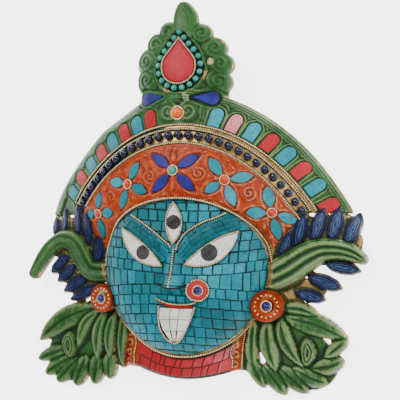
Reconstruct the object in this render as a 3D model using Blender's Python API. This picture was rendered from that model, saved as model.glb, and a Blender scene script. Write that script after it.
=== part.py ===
# Wall mask of cast brass, painted and inlaid with stone, lying on its back.
# The face looks up, the crown's crest points along +Y, sizes are in millimetres.
import math
import bmesh
import bpy
import numpy as np
from mathutils import Vector

MM = 0.001

# Fit between a stone, bead or wire and the metal or mosaic round it
CLEARANCE = 0.3
STONE_DEPTH = 1.6
STONE_PROUD = 0.7
WALL = 4.6
BOWL_WALL = 7.5
THINNEST = 2.6
REST_LEVEL = 1.6

# Crown plate: height of the middle line and how fast it falls to the sides
CROWN_TOP = 66.0
CROWN_DIP = 11.0
CREST_LEAN = 7.0
CROWN_BEND = 0.0030
# Sides, cheeks and leaf sprays below the crown
LOWER_TOP = 40.0
LOWER_FALL = 20.0
SPRAY_DROP_LEFT = 15.0
SPRAY_DROP_RIGHT = 19.5
NECK_RISE = 6.0

# Crown curves as ellipses: centre x, centre y, half width, half height
FAN_OUTER = (1.0, -200.0, 188.0, 296.3)
WIRE_OUTER = (1.0, -140.0, 149.0, 205.6)
WIRE_MIDDLE = (1.0, -140.0, 145.0, 201.5)
BEAD_LINE = (0.5, -144.0, 141.2, 200.3)
WIRE_INNER = (0.0, -148.0, 137.3, 197.3)
WIRE_OUTER_SPAN = (-47.0, 50.5)
BEAD_SPAN = (-44.5, 48.0)
WIRE_INNER_SPAN = (-43.0, 49.5)
WIRE_RADIUS = 0.95
BEAD_RADIUS = 3.7
BEAD_COUNT = 28
BEAD_LIFT = 1.9
CROWN_FOOT = -12.0

# Arch stones stand on the outer wire, round end outwards
ARCH_LINE = (1.0, -140.0, 160.5, 215.5)
ARCH_LEFT = (10.2, 5.1)
ARCH_RIGHT = (11.4, 5.7)
ARCH_WIDTH = 11.0
ARCH_LENGTH = 17.0
ARCH_PER_SIDE = 8

# Face: an egg, shorter above its widest line than below it
FACE_X = 1.0
FACE_Y = -56.0
FACE_HALF_WIDTH = 77.0
FACE_UP = 56.5
FACE_DOWN = 81.0
FACE_TOP = 68.0
MOSAIC_THICKNESS = 3.0
FACE_WIRE_RADIUS = 1.1
FACE_WIRE_LIFT = 3.3
MOSAIC_INSET = 1.9
BED_RINGS = (0.0, 0.5, 0.74, 0.89, 0.965, 1.0)
FACE_LEDGE = 2 * FACE_WIRE_RADIUS + 2.6 * CLEARANCE
NOSE_TIP = (0.0, -74.0, 16.0)
NOSE_ROOT = (0.0, -38.0, 2.5)
NOSE_HALF_WIDTH = 13.5

# Eyes: outer corner, inner corner, bulge above and below the line between them
EYES = {
    "left": ((-51.0, -25.0), (-11.0, -57.5), 3.5, 11.0),
    "right": ((54.5, -28.0), (10.0, -56.0), 4.0, 13.0),
}
EYE_PROUD = 1.5
EYE_DEPTH = 1.4
PUPILS = {"left": (-29.0, -46.0, 6.6), "right": (31.0, -46.0, 7.4)}
BROW_EYE = ((-0.5, -4.5), (-0.5, -37.0), 6.4, 6.4)
BROW_PUPIL = (-0.5, -20.0, 6.3)

# Mouth
TONGUE_TOP = (1.5, -96.0, 14.5)
TONGUE_END = (-1.0, -124.5, 8.5)
TONGUE_PROUD = 2.6
LIP = ((-14.5, -84.5), (1.0, -91.5), (18.0, -91.0))
LIP_HALF_WIDTH = 1.7
NOSE_RING = (20.5, -78.0, 8.2)
NOSE_RING_PROUD = 4.5
NOSE_BEAD_RADIUS = 3.6

# Round bosses below the ears
ROSETTES = {"left": (-76.0, -88.0, 12.8), "right": (76.0, -92.0, 13.6)}
ROSETTE_LEVEL = 46.0
ROSETTE_TURN = math.radians(20.0)
ROSETTE_BEAD_RADIUS = 3.9

# Crest stones
TEAR_TIP = (-0.5, 141.0)
TEAR_ROUND = (-0.5, 117.5, 14.6)
TEAR_PROUD = 2.6
TEAR_WIRE_RADIUS = 0.8
TEAR_WIRE_LIFT = 2.2
TEAR_BEADS = 19
TEAR_BEAD_RADIUS = 2.7
TEAR_BEAD_GAP = 4.8
TEAR_BEAD_LIFT = 0.7
TEAR_TRAY_DEPTH = 2.8
DROPS = {
    "left": ((-15.5, 91.5), (-32.5, 90.5, 5.7)),
    "right": ((11.5, 89.5), (28.5, 88.5, 5.7)),
}
CENTRE_BEAD = (-1.0, 76.0, 5.2)

# Flowers: centre x, y, bead radius, then each petal's direction, reach and width
FLOWERS = {
    "centre": (-2.0, 25.0, 3.6, ((30, 26.5, 9.4), (144, 25.5, 9.0), (225, 26.5, 9.4), (317, 26.5, 9.4))),
    "inner_left": (-46.0, 14.0, 3.3, ((62, 22.0, 8.4), (171, 20.0, 9.4), (253, 23.5, 7.8), (338, 21.0, 9.2))),
    "inner_right": (43.0, 16.0, 3.4, ((9, 24.0, 9.2), (125, 23.5, 9.4), (212, 20.0, 8.6), (290, 24.0, 9.2))),
    "outer_left": (-80.0, -11.5, 3.2, ((2, 17.0, 9.0), (84, 19.5, 7.6), (180, 13.0, 8.6), (272, 22.5, 8.0))),
    "outer_right": (81.0, -12.0, 3.3, ((100, 23.0, 9.6), (180, 21.0, 9.4), (278, 23.5, 9.2), (339, 21.5, 9.4))),
}
PETAL_START = 3.2

# Neck below the chin
NECK_BOTTOM = -150.0
NECK_BOW = 8.0
NECK_HALF_WIDTH = 45.0
NECK_LEFT = ((-47.0, -147.5), (-40.0, -118.0))
NECK_RIGHT = ((41.5, -147.5), (49.0, -118.0))

# Ears as bands: points along the middle with the half width at each
EARS = {
    "left": ((-72, -65, 9.5), (-93, -63, 10), (-104, -49, 11), (-112, -38, 10), (-124, -34.5, 8.5),
             (-136, -40, 8), (-147, -53, 7.5), (-156, -67, 6)),
    "right": ((78, -68, 13), (93, -60, 14), (107, -50.5, 13), (120, -44.5, 11), (134, -44, 9.5),
              (146, -47, 8), (155, -52, 5)),
}
EAR_LIFT = 9.0

# Navy petals behind the ears: root, tip, half width
PETALS = {
    "left": ((-134, -32, -138, -13, 5), (-124, -30, -124, -7, 5.5), (-108, -32, -106, -5, 6),
             (-96, -39, -95, -12, 6.5), (-87, -59, -85, -33, 7), (-120, -51, -137, -66, 6.5),
             (-111, -59, -130, -74, 6.5), (-97, -69, -123, -83, 7), (-89, -79, -116, -91, 6)),
    "right": ((84, -57, 95, -29, 6.5), (98, -43, 107, -14, 6.5), (113, -37, 122, -9, 7),
              (128, -36, 135, -8, 7), (141, -40, 151, -13, 7), (124, -56, 152, -62, 6.5),
              (110, -67, 136, -77, 7), (99, -81, 122, -87, 6)),
}
PETAL_LIFT = 3.2

# Leaves of the sprays: root, middle, tip, half width, lift
LEAVES = {
    "left": ((-88, -97, -122, -109, -154, -132, 11, 5.0), (-83, -99, -99, -113, -111, -137, 6.5, 7.0),
             (-76, -99, -86, -122, -91, -148, 7.5, 7.5), (-66, -100, -74, -122, -77, -146, 7, 7.0),
             (-57, -100, -61, -125, -64, -152, 6.5, 4.5), (-118, -124, -120, -135, -121, -146, 8.5, 6.5),
             (-122, -137, -142, -144, -159, -151, 7, 3.6), (-120, -146, -138, -156, -152, -165, 7.5, 3.8),
             (-114, -148, -128, -161, -138, -171, 8.5, 4.0), (-104, -146, -112, -160, -117, -174, 9, 4.2),
             (-91, -144, -94, -157, -97, -171, 9, 4.4), (-76, -140, -79, -152, -80, -165, 8.5, 4.2)),
    "right": ((87, -94, 102, -95, 118, -101, 6.5, 5.5), (90, -102, 116, -109, 142, -121, 10, 4.6),
              (122, -137, 132, -129, 141, -121, 6.5, 5.0), (107, -122, 107, -134, 104, -146, 7.5, 6.5),
              (75, -104, 74, -128, 79, -153, 8.5, 7.5), (85, -102, 89, -124, 102, -148, 7.5, 7.0),
              (63, -104, 60, -126, 59, -150, 6.5, 4.5), (108, -148, 124, -146, 137, -140, 8, 4.0),
              (94, -149, 108, -157, 122, -162, 8, 4.2), (81, -148, 92, -159, 105, -171, 8.5, 4.2),
              (68, -146, 76, -158, 86, -173, 8.5, 4.2), (58, -140, 62, -152, 68, -167, 7, 4.0)),
}
PLATES = {
    "left": ((-84, -112, -122, -146, 24), (-60, -106, -64, -146, 7), (-84, -50, -124, -42, 13),
             (-88, -80, -112, -72, 9), (-88, -26, -132, -22, 9), (-97, -8, -83, -44, 12),
             (-66, -8, -74, -32, 17)),
    "right": ((80, -112, 108, -144, 24), (58, -106, 58, -146, 7), (84, -52, 142, -38, 13),
              (86, -82, 116, -76, 9), (90, -26, 140, -22, 9), (99, -8, 85, -44, 12),
              (68, -8, 76, -32, 17)),
}

# Crest: body, top leaf and the scrolled lobes down each side
CREST_BODY = (-1.0, 114.0, 39.0, 36.0)
CREST_LEAF = (3, 140, 4, 158, 1, 176, 12, 3.0)
CREST_LOBES = ((19, 147, 9), (30, 134, 10), (35, 120, 10.5), (34, 104, 10.5),
               (-12, 150, 9.5), (-24, 139, 11), (-34, 125, 12.5), (-33, 108, 13))
CREST_LOBE_LIFT = 3.0
CREST_FOOT = (-41.0, 41.0, 84.0, 108.0)

GRID = 2.4
CASTING_SHARE = 0.04
MOSAIC_SHARE = 0.05


def ramp(t):
    t = np.clip(t, 0.0, 1.0)
    return t * t * (3 - 2 * t)


def ground(x, y):
    """Smooth front of the crown, sides, neck and sprays, without face or relief."""
    side = np.abs(x)
    middle = CROWN_TOP - CROWN_DIP * ramp((y - 15) / 70) - CREST_LEAN * ramp((y - 110) / 70)
    bend = CROWN_BEND + 0.0012 * ramp(y / 70) + 0.0053 * ramp((y - 62) / 35)
    crown = middle - bend * x * x
    drop = np.where(x < 0, SPRAY_DROP_LEFT, SPRAY_DROP_RIGHT)
    lower = LOWER_TOP - LOWER_FALL * ramp(side / 165)
    lower = lower - drop * ramp((-y - 105) / 60) * ramp(side / 90)
    lower = lower + NECK_RISE * np.clip(1 - (x / 70) ** 2, 0, 1) * ramp((-y - 110) / 25) * ramp((y + 165) / 20)
    share = ramp((-y - 5) / 38)
    return crown * (1 - share) + lower * share


def face_share(x, y):
    """Zero at the middle of the face and one on its rim."""
    half = np.where(y > FACE_Y, FACE_UP, FACE_DOWN)
    return ((x - FACE_X) / FACE_HALF_WIDTH) ** 2 + ((y - FACE_Y) / half) ** 2


def front(x, y):
    """Smooth front with the face's bulge."""
    x = np.asarray(x, float)
    y = np.asarray(y, float)
    share = np.clip(face_share(x, y), 0, 1)
    level = ground(x, y)
    return level + (FACE_TOP - level) * np.sqrt(1 - share ** 1.3)


def features(x, y):
    """Nose, brows, lips and chin on the face."""
    along = np.clip((NOSE_ROOT[1] - y) / (NOSE_ROOT[1] - NOSE_TIP[1]), 0, 1)
    height = NOSE_ROOT[2] + (NOSE_TIP[2] - NOSE_ROOT[2]) * along ** 1.25
    height = height * ramp((y - NOSE_TIP[1] + 7) / 7) * ramp((NOSE_ROOT[1] + 8 - y) / 10)
    half = 5.5 + (NOSE_HALF_WIDTH - 5.5) * along
    nose = height * (1 - ramp(np.abs(x - NOSE_TIP[0]) / half)) ** 0.8
    side = np.abs(x - 1)
    brow = 3.2 * np.exp(-(((y + 37 - 0.62 * (side - 14)) / 6.5) ** 2)) * ramp((side - 5) / 8) * ramp((66 - side) / 18)
    lip = 2.6 * np.exp(-(((y + 86) / 4.5) ** 2) - (side / 17) ** 2)
    mouth = -1.6 * np.exp(-(((y + 94.5) / 3.0) ** 2) - (side / 15) ** 4)
    socket = -1.8 * np.exp(-(((side - 30) / 19) ** 2) - ((y + 46) / 11) ** 2)
    cheek = 1.8 * np.exp(-(((side - 42) / 20) ** 2) - ((y + 86) / 20) ** 2)
    chin = 2.2 * np.exp(-((side / 22) ** 2) - ((y + 124) / 9) ** 2)
    return nose + brow + lip + mouth + socket + cheek + chin


def face_front(x, y):
    x = np.asarray(x, float)
    y = np.asarray(y, float)
    return front(x, y) + features(x, y) * ramp((1 - face_share(x, y)) / 0.25)


def normal_at(level, x, y):
    step = 0.5
    dx = float(level(x + step, y) - level(x - step, y)) / (2 * step)
    dy = float(level(x, y + step) - level(x, y - step)) / (2 * step)
    return Vector((-dx, -dy, 1)).normalized()


def band(x, y, points, halves, steps=6):
    """Depth inside a band along a smooth line, run along it and offset across it."""
    points = np.asarray(points, float)
    padded = np.vstack([2 * points[0] - points[1], points, 2 * points[-1] - points[-2]])
    line = []
    for i in range(1, len(padded) - 2):
        a, b, c, d = padded[i - 1:i + 3]
        for k in range(steps):
            t = k / steps
            line.append(0.5 * (2 * b + (c - a) * t + (2 * a - 5 * b + 4 * c - d) * t * t
                               + (3 * b - a - 3 * c + d) * t ** 3))
    line.append(points[-1])
    line = np.array(line)
    count = len(line) - 1
    halves = np.interp(np.linspace(0, 1, count + 1), np.linspace(0, 1, len(halves)), halves)
    best = np.full(x.shape, 1e9)
    run = np.zeros(x.shape)
    across = np.zeros(x.shape)
    inside = np.full(x.shape, -1e9)
    for i in range(count):
        step = line[i + 1] - line[i]
        size = float(step @ step)
        t = np.clip(((x - line[i, 0]) * step[0] + (y - line[i, 1]) * step[1]) / size, 0, 1)
        gap_x = x - line[i, 0] - t * step[0]
        gap_y = y - line[i, 1] - t * step[1]
        gap = np.hypot(gap_x, gap_y)
        half = halves[i] + (halves[i + 1] - halves[i]) * t
        near = gap < best
        best = np.where(near, gap, best)
        run = np.where(near, (i + t) / count, run)
        turned = np.sign(step[0] * gap_y - step[1] * gap_x)
        across = np.where(near, turned * gap, across)
        inside = np.maximum(inside, half - gap)
    return inside, run, across


LEAF_SHAPE = (0.25, 0.8, 1.0, 0.95, 0.7, 0.06)
LENS_SHAPE = (0.3, 0.85, 1.0, 0.85, 0.3)


def leaf(x, y, row):
    """A leaf from root over middle to tip: depth inside, run and offset."""
    points = (row[0:2], row[2:4], row[4:6])
    return band(x, y, points, [row[6] * share for share in LEAF_SHAPE])


def lens(x, y, row):
    points = (row[0:2], ((row[0] + row[2]) / 2, (row[1] + row[3]) / 2), row[2:4])
    return band(x, y, points, [row[4] * share for share in LENS_SHAPE])


def ellipse_depth(x, y, ellipse):
    """How far inside an ellipse a point lies, close to the edge."""
    px = (x - ellipse[0]) / ellipse[2]
    py = (y - ellipse[1]) / ellipse[3]
    size = np.maximum(np.hypot(px, py), 1e-6)
    slope = np.hypot(px / ellipse[2], py / ellipse[3]) / size
    return (1 - size) / np.maximum(slope, 1e-6)


def footprint(x, y):
    """Depth inside the outline of the casting; the largest of its parts."""
    crown = np.minimum(ellipse_depth(x, y, FAN_OUTER), y - CROWN_FOOT)
    face = (1.02 - np.sqrt(face_share(x, y))) * 70
    bottom = NECK_BOTTOM - NECK_BOW * np.clip(1 - (x / NECK_HALF_WIDTH) ** 2, 0, 1)
    neck = np.minimum(np.minimum(y - bottom, 60 - np.abs(x + 2)), -60 - y)
    foot = np.minimum(np.minimum(x - CREST_FOOT[0], CREST_FOOT[1] - x),
                      np.minimum(y - CREST_FOOT[2] + 14, CREST_FOOT[3] - y))
    parts = [crown, face, neck, foot, ellipse_depth(x, y, CREST_BODY), leaf(x, y, CREST_LEAF)[0]]
    for cx, cy, radius in CREST_LOBES:
        parts.append(radius - np.hypot(x - cx, y - cy))
    for side in ("left", "right"):
        ear = EARS[side]
        parts.append(band(x, y, [p[:2] for p in ear], [p[2] for p in ear])[0])
        parts.append(ROSETTES[side][2] - np.hypot(x - ROSETTES[side][0], y - ROSETTES[side][1]))
        parts += [lens(x, y, row)[0] for row in PETALS[side]]
        parts += [leaf(x, y, row)[0] for row in LEAVES[side]]
        for row in PLATES[side]:
            parts.append(band(x, y, (row[0:2], row[2:4]), (row[4], row[4]))[0])
    return np.max(parts, axis=0)


def pillow(depth, half):
    """Rounded rise from an edge to the middle of a form this wide."""
    share = np.clip(depth / half, 0, 1)
    return np.sqrt(np.clip(1 - (1 - share) ** 2, 0, 1))


def relief(x, y):
    """Carving above the smooth front that shows from a step away."""
    rise = np.zeros(x.shape)
    rim = ellipse_depth(x, y, FAN_OUTER)
    crown = (y > CROWN_FOOT) & (rim > 0)
    rise = np.where(crown, 1.6 * (1 - ramp((rim - 3.5) / 2.5)) * ramp((rim + 0.6) / 1.5), rise)
    for cx, cy, radius in CREST_LOBES:
        depth = radius - np.hypot(x - cx, y - cy)
        rise = np.maximum(rise, CREST_LOBE_LIFT * pillow(depth, radius * 0.6))
    depth, run, across = leaf(x, y, CREST_LEAF)
    rise = np.maximum(rise, CREST_LEAF[7] * pillow(depth, CREST_LEAF[6] * 0.6))
    for side in ("left", "right"):
        for row in PETALS[side]:
            depth, run, across = lens(x, y, row)
            rise = np.maximum(rise, PETAL_LIFT * pillow(depth, row[4] * 0.8))
        for row in LEAVES[side]:
            depth, run, across = leaf(x, y, row)
            crease = 0.8 * np.exp(-((across / 1.6) ** 2))
            rise = np.maximum(rise, np.where(depth > 0, row[7] * pillow(depth, row[6] * 0.7) - crease, 0))
        ear = EARS[side]
        depth, run, across = band(x, y, [p[:2] for p in ear], [p[2] for p in ear])
        fold = 0.9 * np.cos(across * 2 * math.pi / 7.5)
        body = EAR_LIFT * (1 - 0.35 * run) * pillow(depth, 6.5) + fold * ramp(depth / 4)
        rise = np.maximum(rise, np.where(depth > 0, body, 0))
        cx, cy, radius = ROSETTES[side]
        depth = radius - np.hypot(x - cx, y - cy)
        tilt = math.tan(ROSETTE_TURN) * (np.abs(x) - abs(cx))
        disc = ROSETTE_LEVEL - tilt - front(x, y)
        rise = np.where(depth > 0, np.maximum(disc * ramp(depth / 1.6), 0) + 0 * rise, rise)
    edge = footprint(x, y)
    return rise * ramp((edge + 1.2) / 2.2) - 1.2 * (1 - ramp(edge / 2.0)) * (y < 200)


# Scene, collections and small building tools
for old in list(bpy.data.objects):
    bpy.data.objects.remove(old, do_unlink=True)
mask = bpy.data.collections.new("wall_mask")
cutters = bpy.data.collections.new("cutters")
bpy.context.scene.collection.children.link(mask)
bpy.context.scene.collection.children.link(cutters)
cutters.hide_render = True
rest = bpy.data.objects.new("lying_place", None)
mask.objects.link(rest)

PAINTS = {
    "green_paint": ((0.07, 0.22, 0.09), 0.5, 0.3),
    "turquoise": ((0.05, 0.42, 0.47), 0.4, 0.0),
    "coral": ((0.62, 0.05, 0.06), 0.4, 0.0),
    "lapis": ((0.05, 0.06, 0.42), 0.35, 0.0),
    "navy_glass": ((0.01, 0.01, 0.12), 0.15, 0.0),
    "orange_glass": ((0.85, 0.16, 0.01), 0.15, 0.0),
    "white_shell": ((0.75, 0.73, 0.68), 0.4, 0.0),
    "grey_slate": ((0.05, 0.05, 0.055), 0.5, 0.0),
    "green_glass": ((0.05, 0.42, 0.30), 0.2, 0.0),
    "gold_wire": ((0.75, 0.52, 0.24), 0.3, 1.0),
}
paints = {}
for label, (colour, rough, metal) in PAINTS.items():
    paint = bpy.data.materials.new(label)
    paint.use_nodes = True
    shader = paint.node_tree.nodes["Principled BSDF"]
    shader.inputs["Base Color"].default_value = (*colour, 1)
    shader.inputs["Roughness"].default_value = rough
    shader.inputs["Metallic"].default_value = metal
    paint.diffuse_color = (*colour, 1)
    paints[label] = paint


def finish(bm, label, paint, place=None):
    """Turn a mesh in millimetres into an object in metres."""
    bmesh.ops.recalc_face_normals(bm, faces=bm.faces)
    bmesh.ops.scale(bm, vec=(MM, MM, MM), verts=bm.verts)
    data = bpy.data.meshes.new(label)
    bm.to_mesh(data)
    bm.free()
    obj = bpy.data.objects.new(label, data)
    (place or mask).objects.link(obj)
    obj.parent = rest
    if paint:
        data.materials.append(paints[paint])
    if place is cutters:
        obj.hide_render = True
        obj.display_type = "WIRE"
    return obj


def boolean(obj, other, operation):
    step = obj.modifiers.new(other.name[:40], "BOOLEAN")
    step.operation = operation
    step.solver = "EXACT"
    step.object = other
    return step


def carve(host, cutter):
    """Keep a cutter in the set that is taken from its host in one step."""
    label = "cut_from_" + host.name
    group = bpy.data.collections.get(label)
    if group is None:
        group = bpy.data.collections.new(label)
        group.hide_render = True
        cutters.children.link(group)
        step = host.modifiers.new(label, "BOOLEAN")
        step.operation = "DIFFERENCE"
        step.solver = "EXACT"
        step.operand_type = "COLLECTION"
        step.collection = group
    group.objects.link(cutter)


def grown(outline, amount):
    """An outline moved outwards by an even amount."""
    points = [Vector(p) for p in outline]
    count = len(points)
    area = sum(points[i].x * points[(i + 1) % count].y - points[(i + 1) % count].x * points[i].y
               for i in range(count))
    sign = 1 if area > 0 else -1
    moved = []
    for i in range(count):
        before = (points[i] - points[i - 1]).normalized()
        after = (points[(i + 1) % count] - points[i]).normalized()
        out_a = Vector((before.y, -before.x)) * sign
        out_b = Vector((after.y, -after.x)) * sign
        middle = out_a + out_b
        middle = middle.normalized() if middle.length > 1e-6 else out_a
        moved.append(points[i] + middle * amount / max(middle.dot(out_a), 0.45))
    return [(p.x, p.y) for p in moved]


def patch(label, outline, paint, place=None, level=front, proud=STONE_PROUD, depth=STONE_DEPTH, dome=0.0,
          grow=0.0, lean=None):
    """A stone drawn in plan that follows the surface under it."""
    if grow:
        outline = grown(outline, grow)
    count = len(outline)
    cx = sum(p[0] for p in outline) / count
    cy = sum(p[1] for p in outline) / count
    up = lean or normal_at(level, cx, cy)
    bm = bmesh.new()
    bmesh.ops.create_circle(bm, cap_ends=True, cap_tris=True, segments=count, radius=1)
    for vert in bm.verts:
        if vert.co.length < 0.5:
            px, py = cx, cy
        else:
            turn = math.atan2(-vert.co.x, vert.co.y) / (2 * math.pi) * count
            px, py = outline[round(turn) % count]
        vert.co = Vector((px, py, float(level(px, py)))) - up * depth
    sheet = bmesh.ops.extrude_face_region(bm, geom=bm.faces[:])
    top = [item for item in sheet["geom"] if isinstance(item, bmesh.types.BMVert)]
    for vert in top:
        vert.co += up * (proud + depth)
    if dome:
        middle = min(top, key=lambda v: (v.co.x - cx) ** 2 + (v.co.y - cy) ** 2)
        middle.co += up * dome
    return finish(bm, label, paint, place)


def stone(label, outline, paint, hosts, **shape):
    """A stone and the pocket it sits in, cut from everything round it."""
    made = patch(label, outline, paint, **shape)
    room = dict(shape)
    room["depth"] = shape.get("depth", STONE_DEPTH) + CLEARANCE
    room["proud"] = 9.0
    room.pop("dome", None)
    pocket = patch("pocket_" + label, outline, None, place=cutters, grow=CLEARANCE, **room)
    for host in hosts:
        carve(host, pocket)
    return made


def ball(label, centre, radius, paint, place=None, sides=7, rings=4, squash=1.0, up=None):
    bm = bmesh.new()
    bmesh.ops.create_uvsphere(bm, u_segments=sides, v_segments=rings, radius=radius)
    bmesh.ops.scale(bm, vec=(1, 1, squash), verts=bm.verts)
    if up:
        bmesh.ops.rotate(bm, matrix=Vector((0, 0, 1)).rotation_difference(up).to_matrix(), verts=bm.verts)
    bmesh.ops.translate(bm, vec=centre, verts=bm.verts)
    return finish(bm, label, paint, place)


def tube(label, points, radius, paint, place=None, closed=False, widths=None):
    """A wire along a line of points."""
    curve = bpy.data.curves.new(label + "_line", "CURVE")
    curve.dimensions = "3D"
    curve.twist_mode = "Z_UP"
    curve.bevel_depth = radius * MM
    curve.bevel_resolution = 0
    curve.use_fill_caps = not closed
    run = curve.splines.new("POLY")
    run.points.add(len(points) - 1)
    for knot, point in zip(run.points, points):
        knot.co = (*(value * MM for value in point), 1)
    for knot, width in zip(run.points, widths or []):
        knot.radius = width
    run.use_cyclic_u = closed
    source = bpy.data.objects.new(label + "_line", curve)
    bpy.context.scene.collection.objects.link(source)
    bpy.context.view_layer.update()
    data = bpy.data.meshes.new_from_object(source.evaluated_get(bpy.context.evaluated_depsgraph_get()))
    bpy.data.objects.remove(source, do_unlink=True)
    bm = bmesh.new()
    bm.from_mesh(data)
    bpy.data.meshes.remove(data)
    bmesh.ops.remove_doubles(bm, verts=bm.verts, dist=1e-6)
    bmesh.ops.scale(bm, vec=(1 / MM, 1 / MM, 1 / MM), verts=bm.verts)
    return finish(bm, label, paint, place)


def wire(label, plan, radius, grooved=False, closed=False, level=front, lift=0.0):
    """A round wire, let half its thickness into a groove of the casting where it has no ledge."""
    points = [(px, py, float(level(px, py)) + lift) for px, py in plan]
    made = tube(label, points, radius, "gold_wire", closed=closed)
    if grooved:
        first = Vector(points[0]) + (Vector(points[0]) - Vector(points[1])).normalized() * CLEARANCE
        last = Vector(points[-1]) + (Vector(points[-1]) - Vector(points[-2])).normalized() * CLEARANCE
        points = [tuple(first)] + points[1:-1] + [tuple(last)]
        groove = tube("groove_" + label, points, radius + 1.5 * CLEARANCE, None, place=cutters)
        carve(casting, groove)
    return made


def ellipse_line(ellipse, span, count):
    angles = [math.radians(span[0] + (span[1] - span[0]) * i / (count - 1)) for i in range(count)]
    return [(ellipse[0] + ellipse[2] * math.sin(a), ellipse[1] + ellipse[3] * math.cos(a)) for a in angles]


def face_line(count, inset):
    line = []
    for i in range(count):
        a = 2 * math.pi * i / count
        half = FACE_UP if math.cos(a) > 0 else FACE_DOWN
        line.append((FACE_X + (FACE_HALF_WIDTH - inset) * math.sin(a), FACE_Y + (half - inset) * math.cos(a)))
    return line


def lens_outline(cx, cy, turn, start, reach, width, side_points=2):
    """A pointed petal that leaves a flower's middle at an angle."""
    ahead = (math.cos(turn), math.sin(turn))
    outline = []
    total = side_points + 1
    for i in range(total * 2):
        t = i / total
        along = start + (reach - start) * (t if t <= 1 else 2 - t)
        share = (along - start) / (reach - start)
        half = width / 2 * math.sin(math.pi * share) ** 0.85 if 0 < share < 1 else 0
        half = half if t <= 1 else -half
        outline.append((cx + ahead[0] * along - ahead[1] * half, cy + ahead[1] * along + ahead[0] * half))
    return outline[::-1]


def drop_outline(tip, round_end, count=14):
    """A point joined to a round end by straight sides."""
    cx, cy, radius = round_end
    away = math.atan2(cy - tip[1], cx - tip[0])
    reach = math.hypot(cx - tip[0], cy - tip[1])
    half = math.pi / 2 + math.asin(min(radius / reach, 0.99))
    outline = [tip]
    for i in range(count):
        a = away - half + 2 * half * i / (count - 1)
        outline.append((cx + radius * math.cos(a), cy + radius * math.sin(a)))
    return outline


def almond_outline(start, end, above, below, side_points=4):
    """Two curved lids between two corners."""
    dx, dy = end[0] - start[0], end[1] - start[1]
    size = math.hypot(dx, dy)
    nx, ny = -dy / size, dx / size
    if ny < 0 or (ny == 0 and nx < 0):
        nx, ny = -nx, -ny
    total = side_points + 1
    outline = []
    for i in range(total * 2):
        t = i / total
        share = t if t <= 1 else 2 - t
        lift = above if t < 1 else -below
        lift = lift * (4 * share * (1 - share)) ** 0.9
        outline.append((start[0] + dx * share + nx * lift, start[1] + dy * share + ny * lift))
    area = sum(outline[i - 1][0] * outline[i][1] - outline[i][0] * outline[i - 1][1] for i in range(len(outline)))
    return outline if area > 0 else outline[::-1]


def circle_outline(cx, cy, radius, count=12):
    return [(cx + radius * math.cos(2 * math.pi * i / count), cy + radius * math.sin(2 * math.pi * i / count))
            for i in range(count)]


def arch_outline(cx, cy, out, width, length, round_points=5):
    """A stone with a flat foot and a round head that points along out."""
    px, py = -out[1], out[0]
    radius = width / 2
    foot = -length / 2
    head = length / 2 - radius
    shape = [(foot, -radius * 0.94), (foot, radius * 0.94)]
    for i in range(round_points):
        a = math.pi / 2 - math.pi * i / (round_points - 1)
        shape.append((head + radius * math.cos(a), radius * math.sin(a)))
    outline = [(cx + out[0] * s + px * t, cy + out[1] * s + py * t) for s, t in shape]
    return outline[::-1]


def open_pinches(bm):
    """Take away the smaller side wherever two parts of a plate meet in one point only."""
    while True:
        pinched = [vert for vert in bm.verts
                   if sum(len(edge.link_faces) == 1 for edge in vert.link_edges) > 2]
        if not pinched:
            return
        doomed = set()
        for vert in pinched:
            fans = []
            left = set(vert.link_faces)
            while left:
                fan = [left.pop()]
                for face in fan:
                    for edge in face.edges:
                        if vert in edge.verts:
                            for other in edge.link_faces:
                                if other in left:
                                    left.discard(other)
                                    fan.append(other)
                fans.append(fan)
            doomed.update(min(fans, key=lambda fan: sum(face.calc_area() for face in fan)))
        bmesh.ops.delete(bm, geom=list(doomed), context="FACES")


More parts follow.
